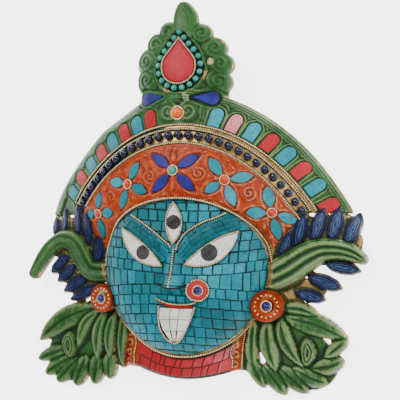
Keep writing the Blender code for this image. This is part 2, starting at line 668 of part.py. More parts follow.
def plate(label, depth_of, top_of, bottom_of, box, cell, paint, place=None):
    """A plate cut to an outline whose front and back are given heights."""
    bm = bmesh.new()
    wide, tall = box[1] - box[0], box[3] - box[2]
    bmesh.ops.create_grid(bm, x_segments=round(wide / cell), y_segments=round(tall / cell), size=0.5)
    for vert in bm.verts:
        vert.co = Vector((box[0] + (vert.co.x + 0.5) * wide, box[2] + (vert.co.y + 0.5) * tall, 0))
    bmesh.ops.triangulate(bm, faces=bm.faces)
    verts = list(bm.verts)
    spots = np.array([v.co[:2] for v in verts])
    depth = depth_of(spots[:, 0], spots[:, 1])
    for _ in range(3):
        close = np.abs(depth) < 0.35 * cell
        step = 0.2
        x, y = spots[close, 0], spots[close, 1]
        slope_x = (depth_of(x + step, y) - depth_of(x - step, y)) / (2 * step)
        slope_y = (depth_of(x, y + step) - depth_of(x, y - step)) / (2 * step)
        size = np.maximum(slope_x ** 2 + slope_y ** 2, 0.2)
        spots[close] -= (depth[close] / size)[:, None] * np.stack([slope_x, slope_y], 1)
        depth[close] = depth_of(spots[close, 0], spots[close, 1])
    depth = np.where(np.abs(depth) < 0.12 * cell, 0, depth)
    value = {vert: float(d) for vert, d in zip(verts, depth)}
    for vert, spot in zip(verts, spots):
        vert.co.x, vert.co.y = spot
    crossing = [edge for edge in bm.edges if value[edge.verts[0]] * value[edge.verts[1]] < 0]
    for edge in crossing:
        a, b = edge.verts
        share = value[a] / (value[a] - value[b])
        _, cut = bmesh.utils.edge_split(edge, a, share)
        value[cut] = 0.0
    for face in list(bm.faces):
        on_edge = [vert for vert in face.verts if value[vert] == 0.0]
        if len(face.verts) > 3 and len(on_edge) >= 2:
            bmesh.ops.connect_verts(bm, verts=on_edge)
    bmesh.ops.triangulate(bm, faces=[face for face in bm.faces if len(face.verts) > 3])
    outside = [face for face in bm.faces if sum(value[vert] for vert in face.verts) <= 0]
    bmesh.ops.delete(bm, geom=outside, context="FACES")
    open_pinches(bm)
    loose = [vert for vert in bm.verts if not vert.link_faces]
    bmesh.ops.delete(bm, geom=loose, context="VERTS")
    raised = bmesh.ops.extrude_face_region(bm, geom=bm.faces[:])
    upper = {item for item in raised["geom"] if isinstance(item, bmesh.types.BMVert)}
    places = np.array([vert.co[:2] for vert in bm.verts])
    tops = top_of(places[:, 0], places[:, 1])
    backs = bottom_of(places[:, 0], places[:, 1])
    for vert, top, back in zip(bm.verts, tops, backs):
        vert.co.z = float(top if vert in upper else back)
    return finish(bm, label, paint, place)


def reduce(obj, share):
    step = obj.modifiers.new("fewer_faces", "DECIMATE")
    step.ratio = share
    step.use_collapse_triangulate = True


# Casting: crown, crest, ears, petals, sprays, neck and the bed under the face
def casting_back(x, y):
    """Plain hollow behind the face, even with the front everywhere else."""
    half = np.where(y > FACE_Y, FACE_UP, FACE_DOWN) - BOWL_WALL
    share = ((x - FACE_X) / (FACE_HALF_WIDTH - BOWL_WALL)) ** 2 + ((y - FACE_Y) / half) ** 2
    level = ground(x, y)
    bowl = (FACE_TOP - MOSAIC_THICKNESS - level) * np.sqrt(1 - np.clip(share, 0, 1) ** 1.3)
    return np.maximum(level + bowl - WALL, 0.0)


def casting_top(x, y):
    return np.maximum(front(x, y) + relief(x, y), casting_back(x, y) + THINNEST)


casting = plate("casting", footprint, casting_top, casting_back, (-168, 168, -180, 182), GRID, "green_paint")
reduce(casting, CASTING_SHARE)


def dome_block(label, grow, shift, far):
    """Smooth bowl under the mosaic, built up to a flat face far above or below it."""
    bm = bmesh.new()
    rings, spokes = 5, 24
    bmesh.ops.create_circle(bm, cap_ends=True, cap_tris=True, segments=spokes, radius=1)
    cuts = [edge for edge in bm.edges if min(v.co.length for v in edge.verts) < 0.5]
    bmesh.ops.subdivide_edges(bm, edges=cuts, cuts=rings - 1, use_grid_fill=True)
    bmesh.ops.triangulate(bm, faces=bm.faces)
    for vert in bm.verts:
        reach = vert.co.length
        turn = math.atan2(vert.co.x, vert.co.y)
        share = BED_RINGS[round(reach * rings)]
        half = FACE_UP if math.cos(turn) > 0 else FACE_DOWN
        px = FACE_X + (FACE_HALF_WIDTH - FACE_WIRE_RADIUS + grow) * share * math.sin(turn)
        py = FACE_Y + (half - FACE_WIRE_RADIUS + grow) * share * math.cos(turn)
        vert.co = Vector((px, py, float(front(px, py)) - MOSAIC_THICKNESS + shift))
    raised = bmesh.ops.extrude_face_region(bm, geom=bm.faces[:])
    for item in raised["geom"]:
        if isinstance(item, bmesh.types.BMVert):
            item.co.z = far
    return finish(bm, label, None, cutters)


def nose_core(label, grow):
    """Metal wedge that carries the nose's tiles."""
    bm = bmesh.new()
    tip = NOSE_TIP[2] - 3.4 + grow
    half = NOSE_HALF_WIDTH - 5.0 + grow
    corners = ((0, NOSE_ROOT[1] - 4 + grow, 66 + grow), (0, NOSE_TIP[1] + 3 - grow, FACE_TOP + tip),
               (half, NOSE_TIP[1] + 4 - grow, 63 + grow), (-half, NOSE_TIP[1] + 4 - grow, 63 + grow),
               (half, NOSE_TIP[1] + 4 - grow, 58), (-half, NOSE_TIP[1] + 4 - grow, 58),
               (0, NOSE_ROOT[1] - 4 + grow, 58))
    for corner in corners:
        bmesh.ops.create_vert(bm, co=corner)
    bmesh.ops.convex_hull(bm, input=bm.verts)
    return finish(bm, label, None, cutters)


def table_block(label, level):
    """What is filed off the back so that the mask lies flat."""
    bm = bmesh.new()
    bmesh.ops.create_cube(bm, size=1)
    bmesh.ops.scale(bm, vec=(400, 420, 30), verts=bm.verts)
    bmesh.ops.translate(bm, vec=(0, 0, level - 15), verts=bm.verts)
    return finish(bm, label, None, cutters)


def mosaic_outline(x, y):
    return (1 - np.sqrt(face_share(x, y))) * 68 - MOSAIC_INSET


bed = dome_block("bed_cutter", FACE_LEDGE, -CLEARANCE, 140.0)
core = dome_block("mosaic_back_cutter", FACE_LEDGE, 0.0, -40.0)
wedge_metal = nose_core("nose_metal", 0.0)
wedge_room = nose_core("nose_room", CLEARANCE)
boolean(casting, bed, "DIFFERENCE")
boolean(casting, wedge_metal, "UNION")
carve(casting, table_block("table_cutter", REST_LEVEL))
face = plate("face_mosaic", mosaic_outline, face_front, lambda x, y: 0 * x + 20, (-82, 84, -142, 6), 3.4, "turquoise")
reduce(face, MOSAIC_SHARE)
boolean(face, core, "DIFFERENCE")
boolean(face, wedge_room, "DIFFERENCE")

# Eyes with their pupils
for side, (outer, inner, above, below) in EYES.items():
    outline = almond_outline(outer, inner, above, below)
    white = stone("eye_white_" + side, outline, "white_shell", [face], proud=EYE_PROUD, depth=EYE_DEPTH)
    px, py, radius = PUPILS[side]
    stone("pupil_" + side, circle_outline(px, py, radius), "grey_slate", [white, face], proud=2.2, depth=0.4)
white = stone("eye_white_brow", almond_outline(*BROW_EYE), "white_shell", [face], proud=EYE_PROUD, depth=EYE_DEPTH)
px, py, radius = BROW_PUPIL
stone("pupil_brow", circle_outline(px, py, radius), "grey_slate", [white, face], proud=2.6, depth=0.4)

# Mouth and the ring stone on the nose
tongue_shape = [(TONGUE_TOP[0] - TONGUE_TOP[2], TONGUE_TOP[1]), (TONGUE_TOP[0] + TONGUE_TOP[2], TONGUE_TOP[1])]
for i in range(7):
    a = -0.12 - (math.pi - 0.24) * i / 6
    tongue_shape.append((TONGUE_END[0] + TONGUE_END[2] * math.cos(a),
                         TONGUE_END[1] + TONGUE_END[2] + TONGUE_END[2] * math.sin(a)))
stone("tongue", tongue_shape[::-1], "white_shell", [face], proud=TONGUE_PROUD + 1.6, depth=1.6, dome=0.8)
lip_shape = []
for i in range(9):
    t = i / 8
    cx = (1 - t) ** 2 * LIP[0][0] + 2 * t * (1 - t) * LIP[1][0] + t * t * LIP[2][0]
    cy = (1 - t) ** 2 * LIP[0][1] + 2 * t * (1 - t) * (LIP[1][1] - 2.5) + t * t * LIP[2][1]
    lip_shape.append((cx, cy, LIP_HALF_WIDTH * (4 * t * (1 - t)) ** 0.5))
lip_outline = [(cx, cy + half) for cx, cy, half in lip_shape] + [(cx, cy - half) for cx, cy, half in lip_shape[-2:0:-1]]
stone("lip", lip_outline[::-1], "coral", [face], proud=2.6, depth=1.4)
px, py, radius = NOSE_RING
lean = Vector((0.38, -0.05, 1)).normalized()
disc = stone("nose_disc", circle_outline(px, py, radius, 14), "coral", [face], proud=NOSE_RING_PROUD, depth=1.4,
             lean=lean)
bead_at = Vector((px, py, float(front(px, py)))) + lean * (NOSE_RING_PROUD + 0.6)
ball("nose_bead", bead_at, NOSE_BEAD_RADIUS, "navy_glass", up=lean)
boolean(disc, ball("seat_nose_bead", bead_at, NOSE_BEAD_RADIUS + 1.4 * CLEARANCE, None, place=cutters, up=lean),
        "DIFFERENCE")

# Beads on the round bosses
for side, (cx, cy, radius) in ROSETTES.items():
    lean = Vector((math.copysign(math.tan(ROSETTE_TURN), cx), 0, 1)).normalized()
    at = Vector((cx, cy, ROSETTE_LEVEL + 0.8))
    ball("rosette_bead_" + side, at, ROSETTE_BEAD_RADIUS, "navy_glass", up=lean)
    seat = ball("seat_rosette_" + side, at, ROSETTE_BEAD_RADIUS + 1.4 * CLEARANCE, None, place=cutters, up=lean)
    carve(casting, seat)

# Crest stones: teardrop, two lapis drops and the orange bead between the volutes
tear = drop_outline(TEAR_TIP, TEAR_ROUND)
patch("teardrop", tear, "coral", proud=TEAR_PROUD, dome=1.0)
tear_room = patch("tray_teardrop", tear, None, place=cutters, proud=9.0, depth=TEAR_TRAY_DEPTH,
                  grow=TEAR_BEAD_GAP + TEAR_BEAD_RADIUS + 2 * CLEARANCE)
carve(casting, tear_room)
for side, (tip, round_end) in DROPS.items():
    stone("lapis_drop_" + side, drop_outline(tip, round_end, 9), "lapis", [casting])
cx, cy, radius = CENTRE_BEAD
at = Vector((cx, cy, float(front(cx, cy)) + 0.8))
ball("centre_bead", at, radius, "orange_glass", squash=0.75)
carve(casting, ball("seat_centre_bead", at, radius + 1.4 * CLEARANCE, None, place=cutters, squash=0.76))

# Arch stones, turquoise and coral by turns
for side, (first, step) in (("left", ARCH_LEFT), ("right", ARCH_RIGHT)):
    for i in range(ARCH_PER_SIDE):
        a = math.radians((first + step * i) * (-1 if side == "left" else 1))
        cx = ARCH_LINE[0] + ARCH_LINE[2] * math.sin(a)
        cy = ARCH_LINE[1] + ARCH_LINE[3] * math.cos(a)
        out = Vector((math.sin(a) / ARCH_LINE[2], math.cos(a) / ARCH_LINE[3])).normalized()
        coral = (i % 2 == 0) == (side == "left")
        stone("arch_stone_%s_%d" % (side, i + 1), arch_outline(cx, cy, out, ARCH_WIDTH, ARCH_LENGTH),
              "coral" if coral else "turquoise", [casting])

# Flowers: four petals that touch the bead's collar, one piece each
for label, (cx, cy, radius, petals) in FLOWERS.items():
    colour = "lapis" if label == "centre" else "turquoise"
    up = normal_at(front, cx, cy)
    at = Vector((cx, cy, float(front(cx, cy)) + 0.4))
    flower = ball("flower_" + label, at, radius + 1.2, colour, sides=8, rings=4, up=up)
    seat = ball("seat_flower_" + label, at, radius + 1.2 + 1.5 * CLEARANCE, None, place=cutters, sides=8, rings=4,
                up=up)
    carve(casting, seat)
    for i, (turn, reach, width) in enumerate(petals):
        outline = lens_outline(cx, cy, math.radians(turn), PETAL_START, reach, width)
        blade = patch("petal_%s_%d" % (label, i), outline, None, place=cutters)
        pocket = patch("pocket_%s_%d" % (label, i), outline, None, place=cutters, grow=CLEARANCE,
                       depth=STONE_DEPTH + CLEARANCE, proud=9.0)
        boolean(flower, blade, "UNION")
        carve(casting, pocket)

# Neck mosaic between the two side panels
def neck_depth(x, y):
    left = x - np.interp(y, (NECK_LEFT[0][1], NECK_LEFT[1][1]), (NECK_LEFT[0][0], NECK_LEFT[1][0]))
    right = np.interp(y, (NECK_RIGHT[0][1], NECK_RIGHT[1][1]), (NECK_RIGHT[0][0], NECK_RIGHT[1][0])) - x
    bottom = NECK_BOTTOM + 2 - NECK_BOW * np.clip(1 - (x / NECK_HALF_WIDTH) ** 2, 0, 1)
    chin = (np.sqrt(face_share(x, y)) - 1) * FACE_DOWN - 2.6
    corners = np.minimum(left + chin, right + chin) * 0.8 - 1.2
    return np.min([left, right, y - bottom, chin, corners], axis=0)


NECK_BOX = (-52, 54, -162, -108)
NECK_PROUD = 0.9
NECK_BEDDING = 1.1
plate("neck_mosaic", neck_depth, lambda x, y: front(x, y) + NECK_PROUD, lambda x, y: front(x, y) - STONE_DEPTH,
      NECK_BOX, 9.0, "coral")
neck_room = plate("pocket_neck", lambda x, y: neck_depth(x, y) + 3 * CLEARANCE, lambda x, y: front(x, y) + 9,
                  lambda x, y: front(x, y) - STONE_DEPTH - NECK_BEDDING, NECK_BOX, 9.0, None, place=cutters)
carve(casting, neck_room)

# Wires and the two rows of touching beads
wire("wire_crown_outer", ellipse_line(WIRE_OUTER, WIRE_OUTER_SPAN, 17), WIRE_RADIUS, grooved=True, lift=0.3)
wire("wire_crown_inner", ellipse_line(WIRE_INNER, WIRE_INNER_SPAN, 16), WIRE_RADIUS, grooved=True, lift=0.3)
wire("wire_face", face_line(24, -0.3), FACE_WIRE_RADIUS, closed=True, level=ground, lift=FACE_WIRE_LIFT)
tear_wire = grown(tear, TEAR_WIRE_RADIUS + CLEARANCE)
wire("wire_teardrop", tear_wire, TEAR_WIRE_RADIUS, closed=True, lift=TEAR_WIRE_LIFT)


def evenly(plan, count, closed):
    """Points spaced evenly along a line."""
    line = [Vector((px, py)) for px, py in plan] + ([Vector(plan[0])] if closed else [])
    reach = [0.0]
    for a, b in zip(line, line[1:]):
        reach.append(reach[-1] + (b - a).length)
    gaps = count if closed else count - 1
    return [(float(np.interp(reach[-1] * i / gaps, reach, [p.x for p in line])),
             float(np.interp(reach[-1] * i / gaps, reach, [p.y for p in line]))) for i in range(count)]


def bead_string(label, plan, radius, lift, paint, closed=False):
    """Barrel beads on one strand, narrow where they meet."""
    count = len(plan)
    spots = [Vector((px, py, float(front(px, py)) + lift)) for px, py in plan]
    points, widths = [], []
    for i in range(count):
        before = spots[i - 1] if closed or i else spots[0] * 2 - spots[1]
        after = spots[(i + 1) % count] if closed or i < count - 1 else spots[-1] * 2 - spots[-2]
        ahead = (after - before) * 0.25
        points += [spots[i] - ahead, spots[i] - ahead * 0.42, spots[i] + ahead * 0.42]
        widths += [0.4, 1.0, 1.0]
    if not closed:
        points.append(spots[-1] + ahead)
        widths.append(0.4)
    row = tube(label, points, radius, paint, closed=closed, widths=widths)
    return row, spots


crown_plan = evenly(ellipse_line(BEAD_LINE, BEAD_SPAN, 90), BEAD_COUNT, False)
row, spots = bead_string("bead_row", crown_plan, BEAD_RADIUS, BEAD_LIFT, "navy_glass")
ends = [spots[0] * 1.5 - spots[1] * 0.5] + spots[1:-1:2] + [spots[-1] * 1.5 - spots[-2] * 0.5]
ends[0] += (ends[0] - ends[1]).normalized() * CLEARANCE
ends[-1] += (ends[-1] - ends[-2]).normalized() * CLEARANCE
channel = tube("channel_bead_row", ends, BEAD_RADIUS + 2.5 * CLEARANCE, None, place=cutters)
carve(casting, channel)
tear_plan = evenly(grown(tear, TEAR_BEAD_GAP), TEAR_BEADS, True)
bead_string("teardrop_beads", tear_plan, TEAR_BEAD_RADIUS, TEAR_BEAD_LIFT, "green_glass", closed=True)

# Lying place: middle of the whole over the origin, lowest points on the floor
bpy.context.view_layer.update()
graph = bpy.context.evaluated_depsgraph_get()
low = Vector((1e9, 1e9, 1e9))
high = -low
for obj in mask.objects:
    if obj.type == "MESH":
        shaped = obj.evaluated_get(graph)
        for vert in shaped.data.vertices:
            low = Vector(map(min, low, vert.co))
            high = Vector(map(max, high, vert.co))
rest.location = (-(low.x + high.x) / 2, -(low.y + high.y) / 2, -low.z)
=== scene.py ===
import math

import bmesh
import bpy
import numpy as np
from mathutils import Matrix, Vector


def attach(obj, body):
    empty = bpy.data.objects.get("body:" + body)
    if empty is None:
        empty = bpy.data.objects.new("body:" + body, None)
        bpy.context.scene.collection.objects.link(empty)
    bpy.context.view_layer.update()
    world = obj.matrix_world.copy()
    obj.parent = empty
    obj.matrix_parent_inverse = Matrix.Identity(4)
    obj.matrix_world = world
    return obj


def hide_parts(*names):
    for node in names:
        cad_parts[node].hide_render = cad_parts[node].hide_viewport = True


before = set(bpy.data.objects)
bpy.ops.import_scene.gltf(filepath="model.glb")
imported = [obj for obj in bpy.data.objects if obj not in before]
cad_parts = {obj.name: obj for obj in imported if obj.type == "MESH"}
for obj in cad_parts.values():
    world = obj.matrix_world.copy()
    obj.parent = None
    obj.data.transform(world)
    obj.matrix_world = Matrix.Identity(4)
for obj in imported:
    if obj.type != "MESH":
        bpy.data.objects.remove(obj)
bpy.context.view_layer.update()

# The casting: one brass shell with crown, crest, ears, petals, leaf sprays, round bosses
# and neck. It is cast from a carved wax model, painted and then rubbed, so metal shows on
# the edges. Sizes are millimetres on the wall, before the mask is laid down.
LAID = Vector((1.2289, -0.6024, -1.6))
CROWN_FOOT = -12.0
FAN_OUTER = (1.0, -200.0, 188.0, 296.3)
WIRE_OUTER = (1.0, -140.0, 149.0, 205.6)
WIRE_MIDDLE = (1.0, -140.0, 145.0, 201.5)
BEAD_LINE = (0.5, -144.0, 141.2, 200.3)
WIRE_INNER = (0.0, -148.0, 137.3, 197.3)
ARCH_LINE = (1.0, -140.0, 160.5, 215.5)
ARCH_STEPS = {-1: (10.2, 5.1), 1: (11.4, 5.7)}
FACE_X, FACE_Y, FACE_HALF_WIDTH, FACE_UP, FACE_DOWN, FACE_TOP = 1.0, -56.0, 77.0, 56.5, 81.0, 68.0
NOSE_TIP, NOSE_ROOT, NOSE_HALF_WIDTH = (0.0, -74.0, 15.2), (0.0, -38.0, 2.5), 13.5
ROSETTES = {-1: (-76.0, -88.0, 12.8), 1: (76.0, -92.0, 13.6)}
NECK_SIDES = (((-47.0, -147.5), (-40.0, -118.0)), ((41.5, -147.5), (49.0, -118.0)))
CENTRE_BEAD = (-1.0, 76.0, 5.2)
TEAR_TIP, TEAR_ROUND = (-0.5, 141.0), (-0.5, 117.5, 14.6)
DROPS = (((-15.5, 91.5), (-32.5, 90.5, 5.7)), ((11.5, 89.5), (28.5, 88.5, 5.7)))
FLOWERS = {
    "centre": (-2.0, 25.0, 3.6, ((30, 26.5, 9.4), (144, 25.5, 9.0), (225, 26.5, 9.4), (317, 26.5, 9.4))),
    "inner_left": (-46.0, 14.0, 3.3, ((62, 22.0, 8.4), (171, 20.0, 9.4), (253, 23.5, 7.8), (338, 21.0, 9.2))),
    "inner_right": (43.0, 16.0, 3.4, ((9, 24.0, 9.2), (125, 23.5, 9.4), (212, 20.0, 8.6), (290, 24.0, 9.2))),
    "outer_left": (-80.0, -11.5, 3.2, ((2, 17.0, 9.0), (84, 19.5, 7.6), (180, 13.0, 8.6), (272, 22.5, 8.0))),
    "outer_right": (81.0, -12.0, 3.3, ((100, 23.0, 9.6), (180, 21.0, 9.4), (278, 23.5, 9.2), (339, 21.5, 9.4))),
}
EARS = {
    -1: ((-72, -65, 9.5), (-93, -63, 10), (-104, -49, 11), (-112, -38, 10), (-124, -34.5, 8.5),
         (-136, -40, 8), (-147, -53, 7.5), (-156, -67, 6)),
    1: ((78, -68, 13), (93, -60, 14), (107, -50.5, 13), (120, -44.5, 11), (134, -44, 9.5), (146, -47, 8),
        (155, -52, 5)),
}
PETALS = {
    -1: ((-134, -32, -138, -13, 5), (-124, -30, -124, -7, 5.5), (-108, -32, -106, -5, 6),
         (-96, -39, -95, -12, 6.5), (-87, -59, -85, -33, 7), (-120, -51, -137, -66, 6.5),
         (-111, -59, -130, -74, 6.5), (-97, -69, -123, -83, 7), (-89, -79, -116, -91, 6)),
    1: ((84, -57, 95, -29, 6.5), (98, -43, 107, -14, 6.5), (113, -37, 122, -9, 7), (128, -36, 135, -8, 7),
        (141, -40, 151, -13, 7), (124, -56, 152, -62, 6.5), (110, -67, 136, -77, 7), (99, -81, 122, -87, 6)),
}
LEAVES = {
    -1: ((-88, -97, -122, -109, -154, -132, 11, 5.0), (-83, -99, -99, -113, -111, -137, 6.5, 7.0),
         (-76, -99, -86, -122, -91, -148, 7.5, 7.5), (-66, -100, -74, -122, -77, -146, 7, 7.0),
         (-57, -100, -61, -125, -64, -152, 6.5, 4.5), (-118, -124, -120, -135, -121, -146, 8.5, 6.5),
         (-122, -137, -142, -144, -159, -151, 7, 3.6), (-120, -146, -138, -156, -152, -165, 7.5, 3.8),
         (-114, -148, -128, -161, -138, -171, 8.5, 4.0), (-104, -146, -112, -160, -117, -174, 9, 4.2),
         (-91, -144, -94, -157, -97, -171, 9, 4.4), (-76, -140, -79, -152, -80, -165, 8.5, 4.2)),
    1: ((87, -94, 102, -95, 118, -101, 6.5, 5.5), (90, -102, 116, -109, 142, -121, 10, 4.6),
        (122, -137, 132, -129, 141, -121, 6.5, 5.0), (107, -122, 107, -134, 104, -146, 7.5, 6.5),
        (75, -104, 74, -128, 79, -153, 8.5, 7.5), (85, -102, 89, -124, 102, -148, 7.5, 7.0),
        (63, -104, 60, -126, 59, -150, 6.5, 4.5), (108, -148, 124, -146, 137, -140, 8, 4.0),
        (94, -149, 108, -157, 122, -162, 8, 4.2), (81, -148, 92, -159, 105, -171, 8.5, 4.2),
        (68, -146, 76, -158, 86, -173, 8.5, 4.2), (58, -140, 62, -152, 68, -167, 7, 4.0)),
}
CURLED_LEAF = {-1: 5, 1: 3}
BACKING = {
    -1: ((-84, -112, -122, -146, 24), (-60, -106, -64, -146, 7), (-84, -50, -124, -42, 13),
         (-88, -80, -112, -72, 9), (-88, -26, -132, -22, 9), (-97, -8, -83, -44, 12), (-66, -8, -74, -32, 17)),
    1: ((80, -112, 108, -144, 24), (58, -106, 58, -146, 7), (84, -52, 142, -38, 13),
        (86, -82, 116, -76, 9), (90, -26, 140, -22, 9), (99, -8, 85, -44, 12), (68, -8, 76, -32, 17)),
}
CREST_BODY = (-1.0, 114.0, 39.0, 36.0)
CREST_LEAF = (3, 140, 4, 158, 1, 176, 12, 3.0)
CREST_LOBES = ((19, 147, 9, 1), (30, 134, 10, 1), (35, 120, 10.5, 1), (34, 104, 10.5, -1),
               (-12, 150, 9.5, -1), (-24, 139, 11, -1), (-34, 125, 12.5, -1), (-33, 108, 13, 1))
ARCH_HALF = 5.5
BOSS_LEVEL, BOSS_TILT, BOSS_FLUTES = 45.0, math.tan(math.radians(20)), 14
FIELD_CURLS = ((-24, 20, 8, 1), (21, 22, 8, -1), (-27, 41, 7, -1), (24, 43, 7, 1), (-64, 3, 7, 1),
               (63, 5, 8, -1), (-59, 26, 6, 1), (66, 24, 6, -1), (-3, 47, 5, 1), (-44, 38, 6, -1),
               (46, 40, 6, 1), (-98, -6, 5, 1), (98, -12, 5, -1), (-68, -30, 5, 1), (70, -34, 5, -1))
NECK_CURLS = (((-52.4, -118.8, 2.7), (-52.5, -127.7, 3.2), (-53.6, -136.2, 3.0), (-55.0, -144.9, 2.6)),
              ((46.5, -127.0, 2.6), (46.0, -135.4, 3.2), (45.4, -144.1, 2.6)))
NO_PAINT = {"red": 0.0, "navy": 0.0, "bare": 0.0, "dark": 0.0}


def ramp(t):
    t = np.clip(t, 0.0, 1.0)
    return t * t * (3 - 2 * t)


def ground(x, y):
    """Smooth front of crown, sides, neck and sprays."""
    side = np.abs(x)
    middle = 66.0 - 11.0 * ramp((y - 15) / 70) - 7.0 * ramp((y - 110) / 70)
    bend = 0.0030 + 0.0012 * ramp(y / 70) + 0.0053 * ramp((y - 62) / 35)
    crown = middle - bend * x * x
    lower = 40.0 - 20.0 * ramp(side / 165)
    lower = lower - np.where(x < 0, 15.0, 19.5) * ramp((-y - 105) / 60) * ramp(side / 90)
    lower = lower + 6.0 * np.clip(1 - (x / 70) ** 2, 0, 1) * ramp((-y - 110) / 25) * ramp((y + 165) / 20)
    share = ramp((-y - 5) / 38)
    return crown * (1 - share) + lower * share


def face_share(x, y):
    half = np.where(y > FACE_Y, FACE_UP, FACE_DOWN)
    return ((x - FACE_X) / FACE_HALF_WIDTH) ** 2 + ((y - FACE_Y) / half) ** 2


def front(x, y):
    x, y = np.asarray(x, float), np.asarray(y, float)
    level = ground(x, y)
    return level + (FACE_TOP - level) * np.sqrt(1 - np.clip(face_share(x, y), 0, 1) ** 1.3)


def curve(points, steps):
    """A smooth curve through the points, with so many steps from each to the next."""
    points = np.asarray(points, float)
    padded = np.vstack([2 * points[0] - points[1], points, 2 * points[-1] - points[-2]])
    line = []
    for a, b, c, d in zip(padded, padded[1:], padded[2:], padded[3:]):
        for t in np.arange(steps) / steps:
            line.append(0.5 * (2 * b + (c - a) * t + (2 * a - 5 * b + 4 * c - d) * t * t
                               + (3 * b - a - 3 * c + d) * t ** 3))
    return np.array(line + [points[-1]])


def spread(x, y, points, halves, steps=6, reach=7.0):
    """How deep a point lies inside a band along a smooth line, and where along and across it."""
    line = curve(points, steps)
    count = len(line) - 1
    halves = np.interp(np.linspace(0, 1, count + 1), np.linspace(0, 1, len(halves)), halves)
    room = halves.max() + reach
    near = ((x > line[:, 0].min() - room) & (x < line[:, 0].max() + room)
            & (y > line[:, 1].min() - room) & (y < line[:, 1].max() + room))
    px, py = x[near], y[near]
    best, run = np.full(px.shape, 1e9), np.zeros(px.shape)
    across, inside = np.zeros(px.shape), np.full(px.shape, -reach)
    for i in range(count):
        step = line[i + 1] - line[i]
        t = np.clip(((px - line[i, 0]) * step[0] + (py - line[i, 1]) * step[1]) / float(step @ step), 0, 1)
        gap_x, gap_y = px - line[i, 0] - t * step[0], py - line[i, 1] - t * step[1]
        gap = np.hypot(gap_x, gap_y)
        closer = gap < best
        best = np.where(closer, gap, best)
        run = np.where(closer, (i + t) / count, run)
        across = np.where(closer, np.sign(step[0] * gap_y - step[1] * gap_x) * gap, across)
        inside = np.maximum(inside, halves[i] + (halves[i + 1] - halves[i]) * t - gap)
    found = []
    for part, empty in ((inside, -reach), (run, 0.0), (across, 0.0)):
        whole = np.full(x.shape, empty)
        whole[near] = part
        found.append(whole)
    return found


def leaf_depth(x, y, row):
    halves = [row[6] * share for share in (0.25, 0.8, 1.0, 0.95, 0.7, 0.06)]
    return spread(x, y, (row[0:2], row[2:4], row[4:6]), halves)


def petal_depth(x, y, row, steps=6):
    halves = [row[4] * share for share in (0.3, 0.85, 1.0, 0.85, 0.3)]
    middle = ((row[0] + row[2]) / 2, (row[1] + row[3]) / 2)
    return spread(x, y, (row[0:2], middle, row[2:4]), halves, steps)


def oval_depth(x, y, oval):
    px, py = (x - oval[0]) / oval[2], (y - oval[1]) / oval[3]
    size = np.maximum(np.hypot(px, py), 1e-6)
    return (1 - size) * size / np.maximum(np.hypot(px / oval[2], py / oval[3]), 1e-6)


def outline_depth(x, y):
    """Depth inside the outline of the whole casting."""
    crown = np.minimum(oval_depth(x, y, FAN_OUTER), y - CROWN_FOOT)
    face = (1.02 - np.sqrt(face_share(x, y))) * 70
    bottom = -150.0 - 8.0 * np.clip(1 - (x / 45.0) ** 2, 0, 1)
    neck = np.minimum(np.minimum(y - bottom, 60 - np.abs(x + 2)), -60 - y)
    foot = np.minimum(41.0 - np.abs(x), np.minimum(y - 70, 108 - y))
    parts = [crown, face, neck, foot, oval_depth(x, y, CREST_BODY), leaf_depth(x, y, CREST_LEAF)[0]]
    parts += [radius - np.hypot(x - cx, y - cy) for cx, cy, radius, _ in CREST_LOBES]
    for side in (-1, 1):
        parts.append(spread(x, y, [p[:2] for p in EARS[side]], [p[2] for p in EARS[side]])[0])
        parts.append(ROSETTES[side][2] - np.hypot(x - ROSETTES[side][0], y - ROSETTES[side][1]))
        parts += [petal_depth(x, y, row)[0] for row in PETALS[side]]
        parts += [leaf_depth(x, y, row)[0] for row in LEAVES[side]]
        parts += [spread(x, y, (row[0:2], row[2:4]), (row[4], row[4]))[0] for row in BACKING[side]]
    return np.max(parts, axis=0)


def pillow(depth, half):
    return np.sqrt(np.clip(1 - (1 - np.clip(depth / half, 0, 1)) ** 2, 0, 1))


def bump_at(value, width):
    """A soft ridge where a value passes zero."""
    return np.exp(-(value / width) ** 2)


def scroll(x, y, cx, cy, pitch, hand, turn=0.0):
    """Ridges of a wound scroll round a middle."""
    angle = np.arctan2(y - cy, (x - cx) * hand) - turn
    return np.cos(2 * math.pi * np.hypot(x - cx, y - cy) / pitch - angle)


def arch_places():
    """Side, number, middle and outward direction of every arch stone."""
    for side, (first, step) in ARCH_STEPS.items():
        for i in range(8):
            a = math.radians((first + step * i) * side)
            cx, cy = ARCH_LINE[0] + ARCH_LINE[2] * math.sin(a), ARCH_LINE[1] + ARCH_LINE[3] * math.cos(a)
            yield side, i, cx, cy, Vector((math.sin(a) / ARCH_LINE[2], math.cos(a) / ARCH_LINE[3])).normalized()


